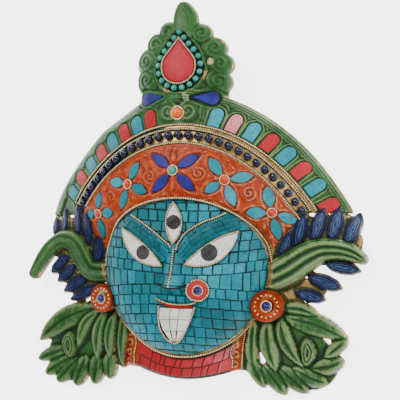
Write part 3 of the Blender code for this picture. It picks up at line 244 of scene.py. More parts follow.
def carving(x, y):
    """Height of the carving above the smooth front, the paint that lies on it, and how much painted highlight (pale)
    and darkening (dark) it gets; the darkening is mostly painted shade.
    """
    coat = {label: np.zeros(x.shape) for label in ("rise", "pale", "phase", "lined", *NO_PAINT)}

    def lay(where, **values):
        for label, value in values.items():
            coat[label] = np.where(where, value, coat[label])

    rim, outer, middle, inner = (oval_depth(x, y, oval) for oval in (FAN_OUTER, WIRE_OUTER, WIRE_MIDDLE, WIRE_INNER))
    share_of_face = face_share(x, y)
    right = x > 0
    crown = (y > CROWN_FOOT) & (rim > -1)

    # Rim of the fan: three thin ridges on one half, a plain bevel on the other
    ridged = 1.1 * (1 - ramp((rim - 6.8) / 1.6))
    plain = 1.7 * (1 - ramp((rim - 9.5) / 2.5)) - 0.9 * (1 - ramp(rim / 5.0))
    arch_zone = crown & (outer < 0)
    lay(arch_zone, rise=np.where(right, ridged, plain))
    lay(arch_zone & (rim < 8), phase=rim / 2.4, lined=np.where(right, 1.0, 0.25))

    # Mouldings round the arch stones
    near_arch = np.full(x.shape, 99.0)
    for _, _, cx, cy, out in arch_places():
        along = (x - cx) * out.x + (y - cy) * out.y
        beside = np.abs((x - cx) * out.y - (y - cy) * out.x)
        near_arch = np.minimum(near_arch, np.where(along > 3, np.hypot(beside, along - 3), beside) - ARCH_HALF)
    double = 1.0 * bump_at(near_arch - 2.1, 1.0) + 0.9 * bump_at(near_arch - 4.6, 1.0)
    mould = np.where(right, double, 0.8 * bump_at(near_arch - 2.3, 1.1)) * ramp((rim - 5.5) / 2.0)
    # The dark ring round each arch stone is painted shade.
    lay(arch_zone, rise=coat["rise"] + mould - 0.5 * (near_arch < 0.6), dark=0.8 * bump_at(near_arch - 0.3, 0.7))
    lay(arch_zone & (near_arch < 5.8) & (rim > 7.0), phase=(near_arch - 2.1) / 2.45, lined=np.where(right, 1.0, 0.45))
    # Painted highlight on the right half of the rim.
    lay(arch_zone & right, pale=0.3)
    # The ground between the mouldings is darkened as painted shade.
    lay(arch_zone & (near_arch > 5.4) & (rim > 7.5), dark=0.42)

    # Smooth band between the two wires, then the channel of the bead row
    tan = ramp((x + 28) / 30)
    lay(crown & (outer > 0) & (middle < 0), rise=0.3, bare=tan, dark=0.9 * (1 - tan))
    left_end = ramp((-x - 35) / 30)
    lay(crown & (middle >= 0) & (inner < 0), rise=-0.9, bare=0.85 * (1 - left_end), pale=0.35, navy=0.75 * left_end)

    # Red-painted ground of the flowers, carved with leafy scrolls
    field = (inner >= 0) & (share_of_face > 0.98) & (y > -46 + (np.abs(x) - 76) * 1.15)
    wave_a = x + 2.6 * np.sin(y / 4.6) + 1.8 * np.sin((x + y) / 6.1)
    wave_b = y + 2.8 * np.sin(x / 5.2 + 1) + 1.5 * np.sin((x - y) / 5.0)
    strokes = 0.55 * (1 - np.abs(np.sin(wave_a / 3.1))) + 0.5 * (1 - np.abs(np.sin(wave_b / 3.6)))
    curls = np.zeros(x.shape)
    for cx, cy, size, hand in FIELD_CURLS:
        depth = size - np.hypot(x - cx, y - cy)
        curls = np.maximum(curls, (0.6 + 0.6 * scroll(x, y, cx, cy, 3.6, hand)) * ramp(depth / 2.0))
    near_petal = np.full(x.shape, 99.0)
    for cx, cy, radius, petals in FLOWERS.values():
        for turn, reach, width in petals:
            c, s = math.cos(math.radians(turn)), math.sin(math.radians(turn))
            row = (cx + c * 3.2, cy + s * 3.2, cx + c * reach, cy + s * reach, width / 2)
            near_petal = np.minimum(near_petal, -petal_depth(x, y, row, 3)[0])
        near_petal = np.minimum(near_petal, np.hypot(x - cx, y - cy) - radius - 1)
    for way in (1, -1):
        depth = petal_depth(x, y, (-2.0, 25.0 + 5 * way, -2.0, 25.0 + 17 * way, 3.0), 3)[0]
        curls = np.maximum(curls, 1.5 * pillow(depth, 3.0) * (depth > 0))
    moulded = np.maximum(strokes * 1.25, curls * 1.15) * ramp((near_petal - 2.2) / 1.8)
    moulded = moulded + 0.7 * bump_at(near_petal - 1.8, 0.9) - 0.6 * (near_petal < 0.4)
    margin = np.minimum(inner, (np.sqrt(np.maximum(share_of_face, 1)) - 1) * 68)
    moulded = moulded * ramp((margin - 2.5) / 2.0) + 0.5 * bump_at(margin - 1.4, 0.9)
    # Pale rises towards the right and at the margins: painted highlight.
    lay(field, rise=moulded, red=1.0, pale=0.25 + 0.45 * ramp((x + 10) / 90) + 0.3 * bump_at(margin - 1.2, 1.5))

    # Crest: scrolled lobes, top leaf, rims of the stones and the double scroll
    lobes = np.full(x.shape, -9.0)
    for cx, cy, radius, hand in CREST_LOBES:
        depth = radius - np.hypot(x - cx, y - cy)
        lobe = 3.0 * pillow(depth, radius * 0.6) + 0.55 * scroll(x, y, cx, cy, 4.6, hand, 0.6) * ramp(depth / 2)
        lay((depth > 0) & (lobe > coat["rise"]) & (depth > lobes - 2), rise=lobe)
        lobes = np.maximum(lobes, depth)
    depth = leaf_depth(x, y, CREST_LEAF)[0]
    inlay = petal_depth(x, y, (2.5, 146, 1.5, 167, 5.2))[0]
    blade = 3.2 * pillow(depth, 5.0) + 0.6 * bump_at(inlay, 0.6) + 0.5 * bump_at(inlay + 2.3, 0.6)
    lay(depth > 0, rise=np.maximum(coat["rise"], blade + 0.5 * pillow(inlay, 4)))
    ring = -spread(x, y, (TEAR_TIP, TEAR_ROUND[:2]), (0.4, TEAR_ROUND[2]), reach=14.0)[0] - 7.9
    # The sunken ring round the teardrop is darkened as painted shade under its beads.
    lay((ring < 0) & (y > 92), rise=-2.4, dark=1.0)
    lay((ring >= 0) & (ring < 3.4) & (y > 92) & (y < 141), rise=coat["rise"] * 0.4 + 1.6 * bump_at(ring - 1.5, 1.2))
    for cx, cy, size in ((22.5, 109, 5.5), (-11, 98.0, 5.0), (38, 141, 3.5), (27, 121, 4.0), (31, 94, 3.6)):
        coat["bare"] = np.maximum(coat["bare"], 0.6 * ramp(1.5 - np.hypot(x - cx, y - cy) / size) * (ring > 0))
    for cx, radius, hand in ((-9.5, 9.4, 1), (8.5, 9.4, -1)):
        depth = radius - np.hypot(x - cx, (y - 77.5) * 0.95)
        roll = 1.6 * pillow(depth, 3.5) + 0.6 * scroll(x, y, cx, 77.5, 4.6, hand, 2.0) * ramp(depth / 1.5)
        lay((depth > 0) & (roll > coat["rise"]), rise=roll)
        # Painted highlight on the double scroll.
        lay(depth > 0, pale=0.35)
    depth = 4.5 - np.hypot(x - 22, (y - 76) * 0.6)
    lay(depth > 0, rise=np.maximum(coat["rise"], 1.2 * pillow(depth, 2) + 0.5 * np.cos(2 * math.pi * x / 2.8)))
    # The ground round each drop is darkened as painted shade.
    for (tip, (cx, cy, radius)), gap_width in zip(DROPS, (0.8, 2.4)):
        depth = spread(x, y, (tip, (cx, cy)), (0.4, radius))[0]
        lay((depth > -4.5) & (depth <= 0), rise=1.3 * bump_at(depth + gap_width + 1.2, 1.1))
        lay(depth > 0, rise=-0.6)
        shade = 0.95 * ramp((depth + 2.4) / 0.8) if gap_width > 1 else 0.7 * bump_at(depth, 0.6)
        coat["dark"] = np.maximum(coat["dark"], shade)
    depth = petal_depth(x, y, (4.5, 93.5, 8.5, 86, 3.4), 3)[0]
    # Full painted highlight on this small petal.
    lay(depth > 0, rise=1.8 * pillow(depth, 2), pale=1.0)
    bead_gap = np.hypot(x - CENTRE_BEAD[0], y - CENTRE_BEAD[1]) - CENTRE_BEAD[2]
    lay(bead_gap < 1.4, rise=-0.3)

    # Ears, petals and leaves at the sides, on plain ground
    for side in (-1, 1):
        for row in BACKING[side][2:]:
            depth = spread(x, y, (row[0:2], row[2:4]), (row[4], row[4]))[0]
            # The ground between the leaves and ears gets a little painted shade.
            lay((depth > 0) & ~crown & ~field, rise=0.0, bare=0.75, dark=0.25)
        for row in PETALS[side]:
            depth = petal_depth(x, y, row)[0]
            form = 3.2 * pillow(depth, row[4] * 0.8)
            over = (depth > 0) & (form > coat["rise"])
            lay(over, **NO_PAINT)
            # Pale is painted highlight, stronger on the right side.
            lay(over, rise=form, navy=1.0, phase=depth / 1.9, lined=1.0,
                pale=(0.75 if side > 0 else 0.3) * ramp((depth - row[4] * 0.35) / 2))
        for number, row in enumerate(LEAVES[side]):
            depth, _, across = leaf_depth(x, y, row)
            groove, lines, strength = -0.9 * bump_at(across, 1.0), across / 1.9 + 0.5, 0.32
            if number == CURLED_LEAF[side]:
                groove, lines, strength = 0.5 * np.cos(2 * math.pi * depth / 2.8), depth / 2.8, 1.0
            form = row[7] * pillow(depth, row[6] * 0.62) + groove * ramp(depth / 1.5)
            # Pale is painted highlight, stronger on the right side.
            lay((depth > 0) & (form > coat["rise"]), **NO_PAINT, rise=form, phase=lines,
                lined=strength * ramp(depth / 2), pale=0.45 if side > 0 else 0.2)
        ear = EARS[side]
        depth, run, across = spread(x, y, [p[:2] for p in ear], [p[2] for p in ear])
        share = across / np.maximum(depth + np.abs(across), 0.5)
        folds = 1.2 * np.cos(share * math.pi * 3.4 + 0.5) if side > 0 else 1.0 * np.cos(share * math.pi * 2.4 - 1.0)
        form = 9.0 * (1 - 0.35 * run) * pillow(depth, 6.5) + folds * ramp(depth / 3) * (1 - 0.5 * run)
        over = (depth > 0) & (form > coat["rise"] - 1)
        lay(over, **NO_PAINT)
        # Pale is painted highlight, much stronger on the right ear.
        lay(over, rise=form, bare=0.8 * (1 - ramp(depth / 1.1)), pale=0.5 if side > 0 else 0.08,
            phase=share * (5.1 if side > 0 else 3.6) + 0.24, lined=0.42 if side > 0 else 0.25)

    # Red side panels of the neck with small curls, and the round bosses
    for number, (low, high) in enumerate(NECK_SIDES):
        side = 2 * number - 1
        past = (x - np.interp(y, (low[1], high[1]), (low[0], high[0]))) * side
        width = (13.5, 8.0)[number] - 0.02 * (y + 118)
        panel = (past > -0.5) & (past < width) & (y < -104) & (share_of_face > 1)
        lay(panel, **NO_PAINT)
        lay(panel, rise=0.2, red=1.0, pale=0.1)
        for cx, cy, size in NECK_CURLS[number]:
            open_side = ramp((np.arctan2(y - cy, x - cx) + 2.6) / 0.6)
            crescent = bump_at(np.hypot(x - cx, y - cy) - size * 0.8, 0.8) * open_side
            lay(panel, rise=coat["rise"] + 1.3 * crescent, bare=np.maximum(coat["bare"], crescent * 0.95))
        # Painted highlight on the raised curls.
        lay(panel & (coat["rise"] > 0.8), pale=0.6)
    lay((y < -108) & (np.abs(x + 2.5) < 46) & (share_of_face > 1) & (coat["red"] < 0.5), dark=1.0)
    for cx, cy, radius in ROSETTES.values():
        reach, turn = np.hypot(x - cx, y - cy), np.arctan2(y - cy, x - cx) * BOSS_FLUTES
        depth = radius - reach
        disc = BOSS_LEVEL - BOSS_TILT * (np.abs(x) - abs(cx)) - front(x, y)
        flutes = bump_at(reach - radius * 0.68, radius * 0.13) * (0.75 + 0.45 * np.cos(turn))
        ridge = 0.9 * bump_at(depth - 1.0, 0.8) + 1.0 * bump_at(reach - radius * 0.42, 0.9)
        boss = np.maximum(disc, 0.5) * ramp((depth + 0.3) / 1.4) + flutes * 1.1 + ridge - 0.8 * (reach < 4)
        rubbed = 0.85 * bump_at(reach - radius * 0.68, radius * 0.12) * (0.5 + 0.5 * np.cos(turn + 0.5))
        lay(depth > 0, **NO_PAINT)
        lay(depth > 0, rise=boss, red=1.0, bare=rubbed, pale=0.3, lined=0.0)

    # Ground under the face mosaic and the wires, darkened there as painted shade, and the worn edge all round
    by_face = bump_at((np.sqrt(share_of_face) - 1) * 68, 2.6)
    under_wire = (bump_at(outer, 1.2) + bump_at(middle, 1.2) + bump_at(inner, 1.3)) * crown
    edge = outline_depth(x, y)
    carved = coat["rise"] * ramp((share_of_face - 0.95) / 0.05)
    coat["rise"] = carved * ramp((edge + 1.2) / 2.2) - 1.2 * (1 - ramp(edge / 2.0))
    coat["bare"] = np.maximum(coat["bare"], by_face * 0.9)
    coat["dark"] = np.max([coat["dark"], by_face * 0.55, 0.75 * np.clip(under_wire, 0, 1)], axis=0)
    coat["worn"] = 1 - ramp((edge - 0.2) / 1.6)
    return coat


def to_frame(bm):
    """Millimetres on the wall to metres as the mask lies, with clean outward faces."""
    bmesh.ops.recalc_face_normals(bm, faces=bm.faces)
    bmesh.ops.translate(bm, vec=LAID, verts=bm.verts)
    bmesh.ops.scale(bm, vec=(0.001, 0.001, 0.001), verts=bm.verts)


def piece(name, bm, paint, nodes=(), layers=(), sharp=35):
    """Hand a finished mesh over as a piece that rides on the casting and stands for its nodes."""
    to_frame(bm)
    data = bpy.data.meshes.new(name)
    bm.to_mesh(data)
    bm.free()
    data.shade_smooth()
    if sharp:
        data.set_sharp_from_angle(angle=math.radians(sharp))
    for label, values in dict(layers).items():
        layer = data.attributes.new(label, "FLOAT", "POINT")
        layer.data.foreach_set("value", np.asarray(values, np.float32))
    data.materials.append(paint)
    made = bpy.data.objects.new(name, data)
    bpy.context.scene.collection.objects.link(made)
    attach(made, "root")
    if nodes:
        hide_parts(*nodes)


class Flow:
    """A shader socket whose sums are written as plain expressions."""

    def __init__(self, tree, socket=None):
        self.tree = tree
        self.socket = socket

    def node(self, kind, settings=None, links=None, out=0):
        made = self.tree.nodes.new("ShaderNode" + kind)
        for key, value in (settings or {}).items():
            setattr(made, key, value)
        for key, value in (links or {}).items():
            if isinstance(value, Flow):
                self.tree.links.new(value.socket, made.inputs[key])
            elif isinstance(value, tuple) and len(value) == 3 and len(made.inputs[key].default_value) == 4:
                made.inputs[key].default_value = (*value, 1)
            else:
                made.inputs[key].default_value = value
        return Flow(self.tree, made.outputs[out])

    def sum(self, operation, a, b=0.0, clamp=False):
        return self.node("Math", {"operation": operation, "use_clamp": clamp}, {0: a, 1: b})

    def __add__(self, other):
        return self.sum("ADD", self, other)

    __radd__ = __add__

    def __mul__(self, other):
        return self.sum("MULTIPLY", self, other)

    __rmul__ = __mul__

    def __sub__(self, other):
        return self.sum("SUBTRACT", self, other)

    def __rsub__(self, other):
        return self.sum("SUBTRACT", other, self)

    def limit(self):
        return self.sum("ADD", self, 0.0, clamp=True)

    def between(self, low, high):
        """Zero below low and one above high, soft in between."""
        return self.node("MapRange", {"interpolation_type": "SMOOTHSTEP"}, {0: self, 1: low, 2: high})

    def blend(self, first, second):
        """First colour where this is zero and second where it is one."""
        return self.node("Mix", {"data_type": "RGBA"}, {0: self, 6: first, 7: second}, 2)

    def stops(self, *stops):
        """A colour for each of some values of this, blended between them."""
        made = self.node("ValToRGB", {}, {0: self.limit()})
        row = made.socket.node.color_ramp.elements
        row[0].position, row[-1].position = stops[0][0], stops[-1][0]
        for place, _ in stops[1:-1]:
            row.new(place)
        for stop, (_, colour) in zip(row, stops):
            stop.color = (*colour, 1)
        return made

    def cracks(self, scale, width, spot=None):
        """One along the edges of cells and zero inside them."""
        edge = self.node("TexVoronoi", {"feature": "DISTANCE_TO_EDGE"},
                         {"Vector": spot or self.place(), "Scale": scale}, "Distance")
        return 1.0 - edge.between(0.0, width)

    def layer(self, label):
        return self.node("Attribute", {"attribute_name": label}, out="Fac")

    def place(self):
        return self.node("TexCoord", out="Object")

    def cloud(self, scale, detail=3.0, rough=0.55, stretch=None):
        spot = self.place()
        if stretch:
            spot = self.node("Mapping", {}, {"Vector": spot, "Scale": stretch})
        return self.node("TexNoise", {}, {"Vector": spot, "Scale": scale, "Detail": detail, "Roughness": rough})


def finish_named(name):
    """A new material: its expressions, and its shader for the constant values."""
    paint = bpy.data.materials.new(name)
    paint.use_nodes = True
    tree = paint.node_tree
    return paint, Flow(tree), tree.nodes["Principled BSDF"]


def dress(flow, shader, colour, rough, height=None, depth=0.0002, metal=None, coat=None, gloss=0.22):
    """Join colour, roughness and relief to the shader."""
    shader.inputs["Specular IOR Level"].default_value = gloss
    pairs = [("Base Color", colour), ("Roughness", rough), ("Metallic", metal), ("Coat Weight", coat)]
    for key, value in pairs:
        if isinstance(value, Flow):
            flow.tree.links.new(value.socket, shader.inputs[key])
        elif value is not None:
            shader.inputs[key].default_value = value
    if height is not None:
        relief = flow.node("Bump", {}, {"Strength": 1.0, "Distance": depth, "Height": height})
        flow.tree.links.new(relief.socket, shader.inputs["Normal"])


CAST_CELL, CAST_WIDE, CAST_TALL, SOFTENING = 2.3, 336.0, 362.0, 5
FACE_WALL, CAST_THICK, TILE_BED, LOWEST_BACK, THINNEST, TOP_END = 7.5, 4.6, 3.2, 1.65, 1.2, 176.4
bm = bmesh.new()
bmesh.ops.create_grid(bm, x_segments=round(CAST_WIDE / CAST_CELL), y_segments=round(CAST_TALL / CAST_CELL), size=0.5)
bmesh.ops.triangulate(bm, faces=bm.faces)
verts = list(bm.verts)
spots = np.array([v.co[:2] for v in verts]) * (CAST_WIDE, CAST_TALL) + (0.0, 1.0)
depth = outline_depth(spots[:, 0], spots[:, 1])
for _ in range(3):
    close = np.abs(depth) < 0.4 * CAST_CELL
    x, y = spots[close, 0], spots[close, 1]
    slope_x = (outline_depth(x + 0.2, y) - outline_depth(x - 0.2, y)) / 0.4
    slope_y = (outline_depth(x, y + 0.2) - outline_depth(x, y - 0.2)) / 0.4
    size = np.maximum(slope_x ** 2 + slope_y ** 2, 0.2)
    spots[close] -= (depth[close] / size)[:, None] * np.stack([slope_x, slope_y], 1)
    depth[close] = outline_depth(spots[close, 0], spots[close, 1])
depth = np.where(np.abs(depth) < 0.12 * CAST_CELL, 0, depth)
inside = {vert: float(d) for vert, d in zip(verts, depth)}
for vert, spot in zip(verts, spots):
    vert.co = (spot[0], spot[1], 0)
for edge in [e for e in bm.edges if inside[e.verts[0]] * inside[e.verts[1]] < 0]:
    a, b = edge.verts
    _, cut = bmesh.utils.edge_split(edge, a, inside[a] / (inside[a] - inside[b]))
    inside[cut] = 0.0
for face in list(bm.faces):
    on_edge = [vert for vert in face.verts if inside[vert] == 0.0]
    if len(face.verts) > 3 and len(on_edge) >= 2:
        bmesh.ops.connect_verts(bm, verts=on_edge)
bmesh.ops.triangulate(bm, faces=[face for face in bm.faces if len(face.verts) > 3])
beyond = [face for face in bm.faces if sum(inside[vert] for vert in face.verts) <= 0]
bmesh.ops.delete(bm, geom=beyond, context="FACES")
bmesh.ops.delete(bm, geom=[v for v in bm.verts if not v.link_faces], context="VERTS")
raised = bmesh.ops.extrude_face_region(bm, geom=bm.faces[:])
for item in raised["geom"]:
    if isinstance(item, bmesh.types.BMVert):
        item.co.z = 1.0
upper = [e for e in bm.edges if min(v.co.z for v in e.verts) > 0.5]
under_face = [e for e in upper if face_share(*e.verts[0].co[:2]) < 0.8]
bmesh.ops.subdivide_edges(bm, edges=list(set(upper) - set(under_face)), cuts=1)
bmesh.ops.triangulate(bm, faces=[face for face in bm.faces if len(face.verts) > 3])
bm.verts.index_update()
spots = np.array([v.co[:] for v in bm.verts])
x, y, on_top = spots[:, 0], spots[:, 1], spots[:, 2] > 0.5
layers = carving(x, y)
rise = layers.pop("rise")
hollow_half = np.where(y > FACE_Y, FACE_UP, FACE_DOWN) - FACE_WALL
share = ((x - FACE_X) / (FACE_HALF_WIDTH - FACE_WALL)) ** 2 + ((y - FACE_Y) / hollow_half) ** 2
level = ground(x, y)
back = level + (FACE_TOP - 3.0 - level) * np.sqrt(1 - np.clip(share, 0, 1) ** 1.3) - CAST_THICK
back = np.maximum(back, LOWEST_BACK)
top = front(x, y) + rise - TILE_BED * (1 - ramp((face_share(x, y) - 0.9) / 0.08))
top = np.maximum(top, back + THINNEST)
for vert, height in zip(bm.verts, np.where(on_top, top, back)):
    vert.co.y, vert.co.z = min(vert.co.y, TOP_END), height
pairs = np.array([[v.index for v in e.verts] for e in bm.edges if all(on_top[v.index] for v in e.verts)])
soft = rise.copy()
counts = np.maximum(np.bincount(pairs.ravel(), minlength=len(soft)), 1)
for _ in range(SOFTENING):
    total = sum(np.bincount(pairs[:, k], soft[pairs[:, 1 - k]], len(soft)) for k in (0, 1))
    soft = 0.4 * soft + 0.6 * total / counts
# How far each point stands above its smoothed surroundings; the paint turns it into painted highlight on ridges and
# painted shade in hollows.
layers["high"] = np.clip((rise - soft) / 0.36, -1.2, 1.2)
layers = {label: np.where(on_top, values, 0) for label, values in layers.items()}
layers["back"] = np.where(on_top, 0.0, 1.0)

cast_paint, flow, shader = finish_named("painted_brass")
broad, mid, fine = flow.cloud(28, 4), flow.cloud(150, 5, 0.65), flow.cloud(600, 4, 0.6)
streak = flow.cloud(260, 4, 0.6, (1, 0.35, 1))
# The pale layer sets how much painted highlight the paint gets; the carving sets it higher on the right side.
pale, red, navy, bare = flow.layer("pale"), flow.layer("red"), flow.layer("navy"), flow.layer("bare")
lines = flow.sum("COSINE", flow.layer("phase") * (2 * math.pi)) * flow.layer("lined")
# The fine carved lines are added here, so they get painted highlight and shade too.
high = flow.layer("high") + lines * 0.55
green = broad.between(0.35, 0.65).blend((0.010, 0.064, 0.008), (0.024, 0.104, 0.018))
green = (mid.between(0.5, 0.8) * 0.6).blend(green, (0.055, 0.160, 0.048))
# Lighter green on ridges and where pale is set: partly rubbed wear, partly painted highlight.
wear_and_highlight = ((high + pale * 0.7 + (streak - 0.5) * 2.4).between(0.55, 1.55) * (0.12 + pale * 0.85)).limit()
green = wear_and_highlight.blend(green, (0.220, 0.330, 0.185))
# Yellowish painted highlight on ridges where pale is set.
yellow = ((high + (mid - 0.5) * 3.0).between(0.6, 1.3) * pale).limit()
green = (yellow * 0.55).blend(green, (0.42, 0.37, 0.07))
orange = mid.between(0.35, 0.7).blend((0.27, 0.019, 0.001), (0.41, 0.052, 0.002))
# Lighter red on ridges: partly rubbed wear, partly painted highlight.
orange = ((high + pale * 0.4 + (streak - 0.5) * 2.4).between(0.55, 1.45) * (0.1 + pale)).limit().blend(
    orange, (0.54, 0.25, 0.13))
blue = mid.between(0.4, 0.75).blend((0.004, 0.005, 0.032), (0.012, 0.016, 0.075))
# Lighter blue on ridges: painted highlight.
blue = ((high + pale + (streak - 0.5) * 1.6).between(0.6, 1.5) * (0.15 + pale)).limit().blend(
    blue, (0.050, 0.095, 0.210))
blue = ((0.0 - high + (fine - 0.5)).between(0.5, 1.1) * 0.3).blend(blue, (0.16, 0.09, 0.02))
colour = navy.between(0.35, 0.65).blend(red.between(0.35, 0.65).blend(green, orange), blue)
brass = mid.between(0.3, 0.75).blend((0.24, 0.13, 0.035), (0.55, 0.37, 0.14))
rubbed = (flow.layer("worn") * 1.25 + (mid - 0.5) * 2.2).between(0.55, 0.95)
shown = flow.sum("MAXIMUM", (bare + (mid - 0.5) * 1.3).between(0.4, 0.75), rubbed * 0.85)
colour = shown.blend(colour, brass)
# Darker colour in recesses and where the dark layer is set: painted shade in hollows, round the stones and under the
# wires; under the neck tiles it is the dark ground seen in the joints.
hollow = flow.sum("MAXIMUM", (0.0 - high).between(0.2, 0.95) * 0.85, flow.layer("dark").between(0.2, 0.85) * 0.94)
colour = hollow.blend(colour, red.between(0.35, 0.65).blend((0.006, 0.014, 0.005), (0.075, 0.010, 0.003)))
colour = flow.layer("back").between(0.4, 0.6).blend(colour, mid.between(0.35, 0.7).blend(
    (0.09, 0.055, 0.02), (0.22, 0.14, 0.05)))
dress(flow, shader, colour, 0.40 + (mid - 0.5) * 0.35 - shown * 0.08, mid * 0.6 + fine * 0.4 + lines, 0.00035,
      metal=(shown * 0.6 + flow.layer("back") * 0.7).limit(), gloss=0.2)
piece("painted_casting", bm, cast_paint, ["casting"], layers, sharp=None)

# Cut stones: turquoise and coral arches, lapis and turquoise petals, the teardrop and the
# drops. Each is sawn from a slab, ground flat with a broken edge and set into its socket.
FLAT_STONE = ((1.0, 0.35), (0.97, 0.62), (0.90, 0.78), (0.60, 0.86), (0.15, 0.88))
UP = Vector((0, 0, 1))


def slope_at(level, x, y):
    dx = float(level(x + 0.5, y) - level(x - 0.5, y))
    dy = float(level(x, y + 0.5) - level(x, y - 0.5))
    return Vector((-dx, -dy, 1)).normalized()


def cut_stone(bm, outline, level=front, profile=FLAT_STONE, depth=1.4, up=None):
    """Grow one stone ring by ring from its sawn outline; returns its vertices."""
    cx, cy = (sum(p[k] for p in outline) / len(outline) for k in (0, 1))
    ring = bmesh.ops.create_circle(bm, cap_ends=True, segments=len(outline), radius=1)["verts"]
    for vert, spot in zip(ring, outline):
        vert.co = (spot[0], spot[1], -depth)
    cap = ring[0].link_faces[0]
    made, before = list(ring), 1.0
    for share, height in profile:
        grown = bmesh.ops.extrude_face_region(bm, geom=[cap])["geom"]
        cap = next(item for item in grown if isinstance(item, bmesh.types.BMFace))
        for vert in cap.verts:
            vert.co = (cx + (vert.co.x - cx) * share / before, cy + (vert.co.y - cy) * share / before, height)
        made += list(cap.verts)
        before = share
    up = up or slope_at(level, cx, cy)
    heights = level(np.array([v.co.x for v in made]), np.array([v.co.y for v in made]))
    for vert, height in zip(made, heights):
        vert.co = Vector((vert.co.x, vert.co.y, float(height))) + up * vert.co.z
    return made


def tone_layers(bm, toned):
    """Give every stone its own shade."""
    bm.verts.index_update()
    tones = np.zeros(len(bm.verts))
    for made, tone in toned:
        for vert in made:
            tones[vert.index] = tone
    return {"tone": tones}


LENS_POINTS = 9


def lens_outline(cx, cy, turn, start, reach, width):
    ahead = (math.cos(turn), math.sin(turn))
    outline = []
    for t in np.arange(LENS_POINTS * 2) / LENS_POINTS:
        share = t if t <= 1 else 2 - t
        along = start + (reach - start) * share
        half = width / 2 * math.sin(math.pi * share) ** 0.85 if 0 < share < 1 else 0.0
        half = half if t <= 1 else -half
        outline.append((cx + ahead[0] * along - ahead[1] * half, cy + ahead[1] * along + ahead[0] * half))
    return outline


def drop_outline(tip, round_end, count):
    cx, cy, radius = round_end
    away = math.atan2(cy - tip[1], cx - tip[0])
    half = math.pi / 2 + math.asin(min(radius / math.hypot(cx - tip[0], cy - tip[1]), 0.99))
    turns = [away - half + 2 * half * i / (count - 1) for i in range(count)]
    return [tip] + [(cx + radius * math.cos(a), cy + radius * math.sin(a)) for a in turns]


def ring_outline(cx, cy, radius, count):
    turns = np.linspace(0, 2 * math.pi, count, endpoint=False)
    return [(cx + radius * math.cos(a), cy + radius * math.sin(a)) for a in turns]


def grown_outline(outline, amount):
    """An outline moved outwards by an even amount."""
    points = [Vector(p) for p in outline]
    count = len(points)
    area = sum(points[i - 1].x * points[i].y - points[i].x * points[i - 1].y for i in range(count))
    moved = []
    for i in range(count):
        before = (points[i] - points[i - 1]).normalized()
        after = (points[(i + 1) % count] - points[i]).normalized()
        out_a, out_b = (Vector((d.y, -d.x)) * (1 if area > 0 else -1) for d in (before, after))
        middle = (out_a + out_b).normalized()
        moved.append(points[i] + middle * amount / max(middle.dot(out_a), 0.5))
    return [(p.x, p.y) for p in moved]


rng = np.random.default_rng(7)
turquoise, flow, shader = finish_named("turquoise_stone")
tone = flow.layer("tone")
cloudy, speck = flow.cloud(110, 4), flow.cloud(520, 5, 0.7)
body = (tone + (cloudy - 0.5) * 0.35).stops(
    (0.0, (0.000, 0.048, 0.058)), (0.35, (0.000, 0.105, 0.130)), (0.65, (0.001, 0.205, 0.270)),
    (1.0, (0.060, 0.440, 0.530)))
body = (speck.between(0.55, 0.66) * 0.6).blend(body, (0.004, 0.040, 0.042))
ripple = flow.node("TexNoise", {}, {"Scale": 180.0, "Vector": flow.place()}, 1)
shift = flow.node("VectorMath", {"operation": "SCALE"}, {0: ripple, "Scale": 0.006})
warped = flow.node("VectorMath", {"operation": "ADD"}, {0: flow.place(), 1: shift})
crack = flow.cracks(110.0, 0.03, warped) * cloudy.between(0.45, 0.62)
body = (crack * 0.55).blend(body, (0.020, 0.030, 0.025))
dress(flow, shader, body, 0.48 + (speck - 0.5) * 0.3, speck - crack * 0.6, 0.00026)

coral, flow, shader = finish_named("coral_stone")
tone = flow.layer("tone")
cloudy, speck = flow.cloud(120, 4), flow.cloud(480, 5, 0.7)
body = (tone + (cloudy - 0.5) * 0.25).stops(
    (0.0, (0.25, 0.002, 0.001)), (0.40, (0.38, 0.004, 0.010)), (0.70, (0.47, 0.026, 0.038)),
    (1.0, (0.68, 0.200, 0.250)))
body = (speck.between(0.54, 0.66) * 0.5).blend(body, (0.09, 0.008, 0.010))
vein = flow.node("TexNoise", {"noise_type": "RIDGED_MULTIFRACTAL"}, {
    "Vector": flow.place(), "Scale": 38.0, "Detail": 4.0, "Roughness": 0.5})
body = (vein.between(0.86, 1.05) * 0.45).blend(body, (0.20, 0.035, 0.045))
dress(flow, shader, body, 0.48 + (speck - 0.5) * 0.3, speck, 0.00024)

lapis, flow, shader = finish_named("lapis_stone")
speck, cloudy = flow.cloud(420, 5, 0.7), flow.cloud(90, 3)
body = cloudy.between(0.3, 0.7).blend((0.006, 0.005, 0.120), (0.018, 0.016, 0.210))
body = (speck.between(0.6, 0.75) * 0.3).blend(body, (0.02, 0.02, 0.10))
dress(flow, shader, body, 0.46 + (speck - 0.5) * 0.25, speck, 0.00018)

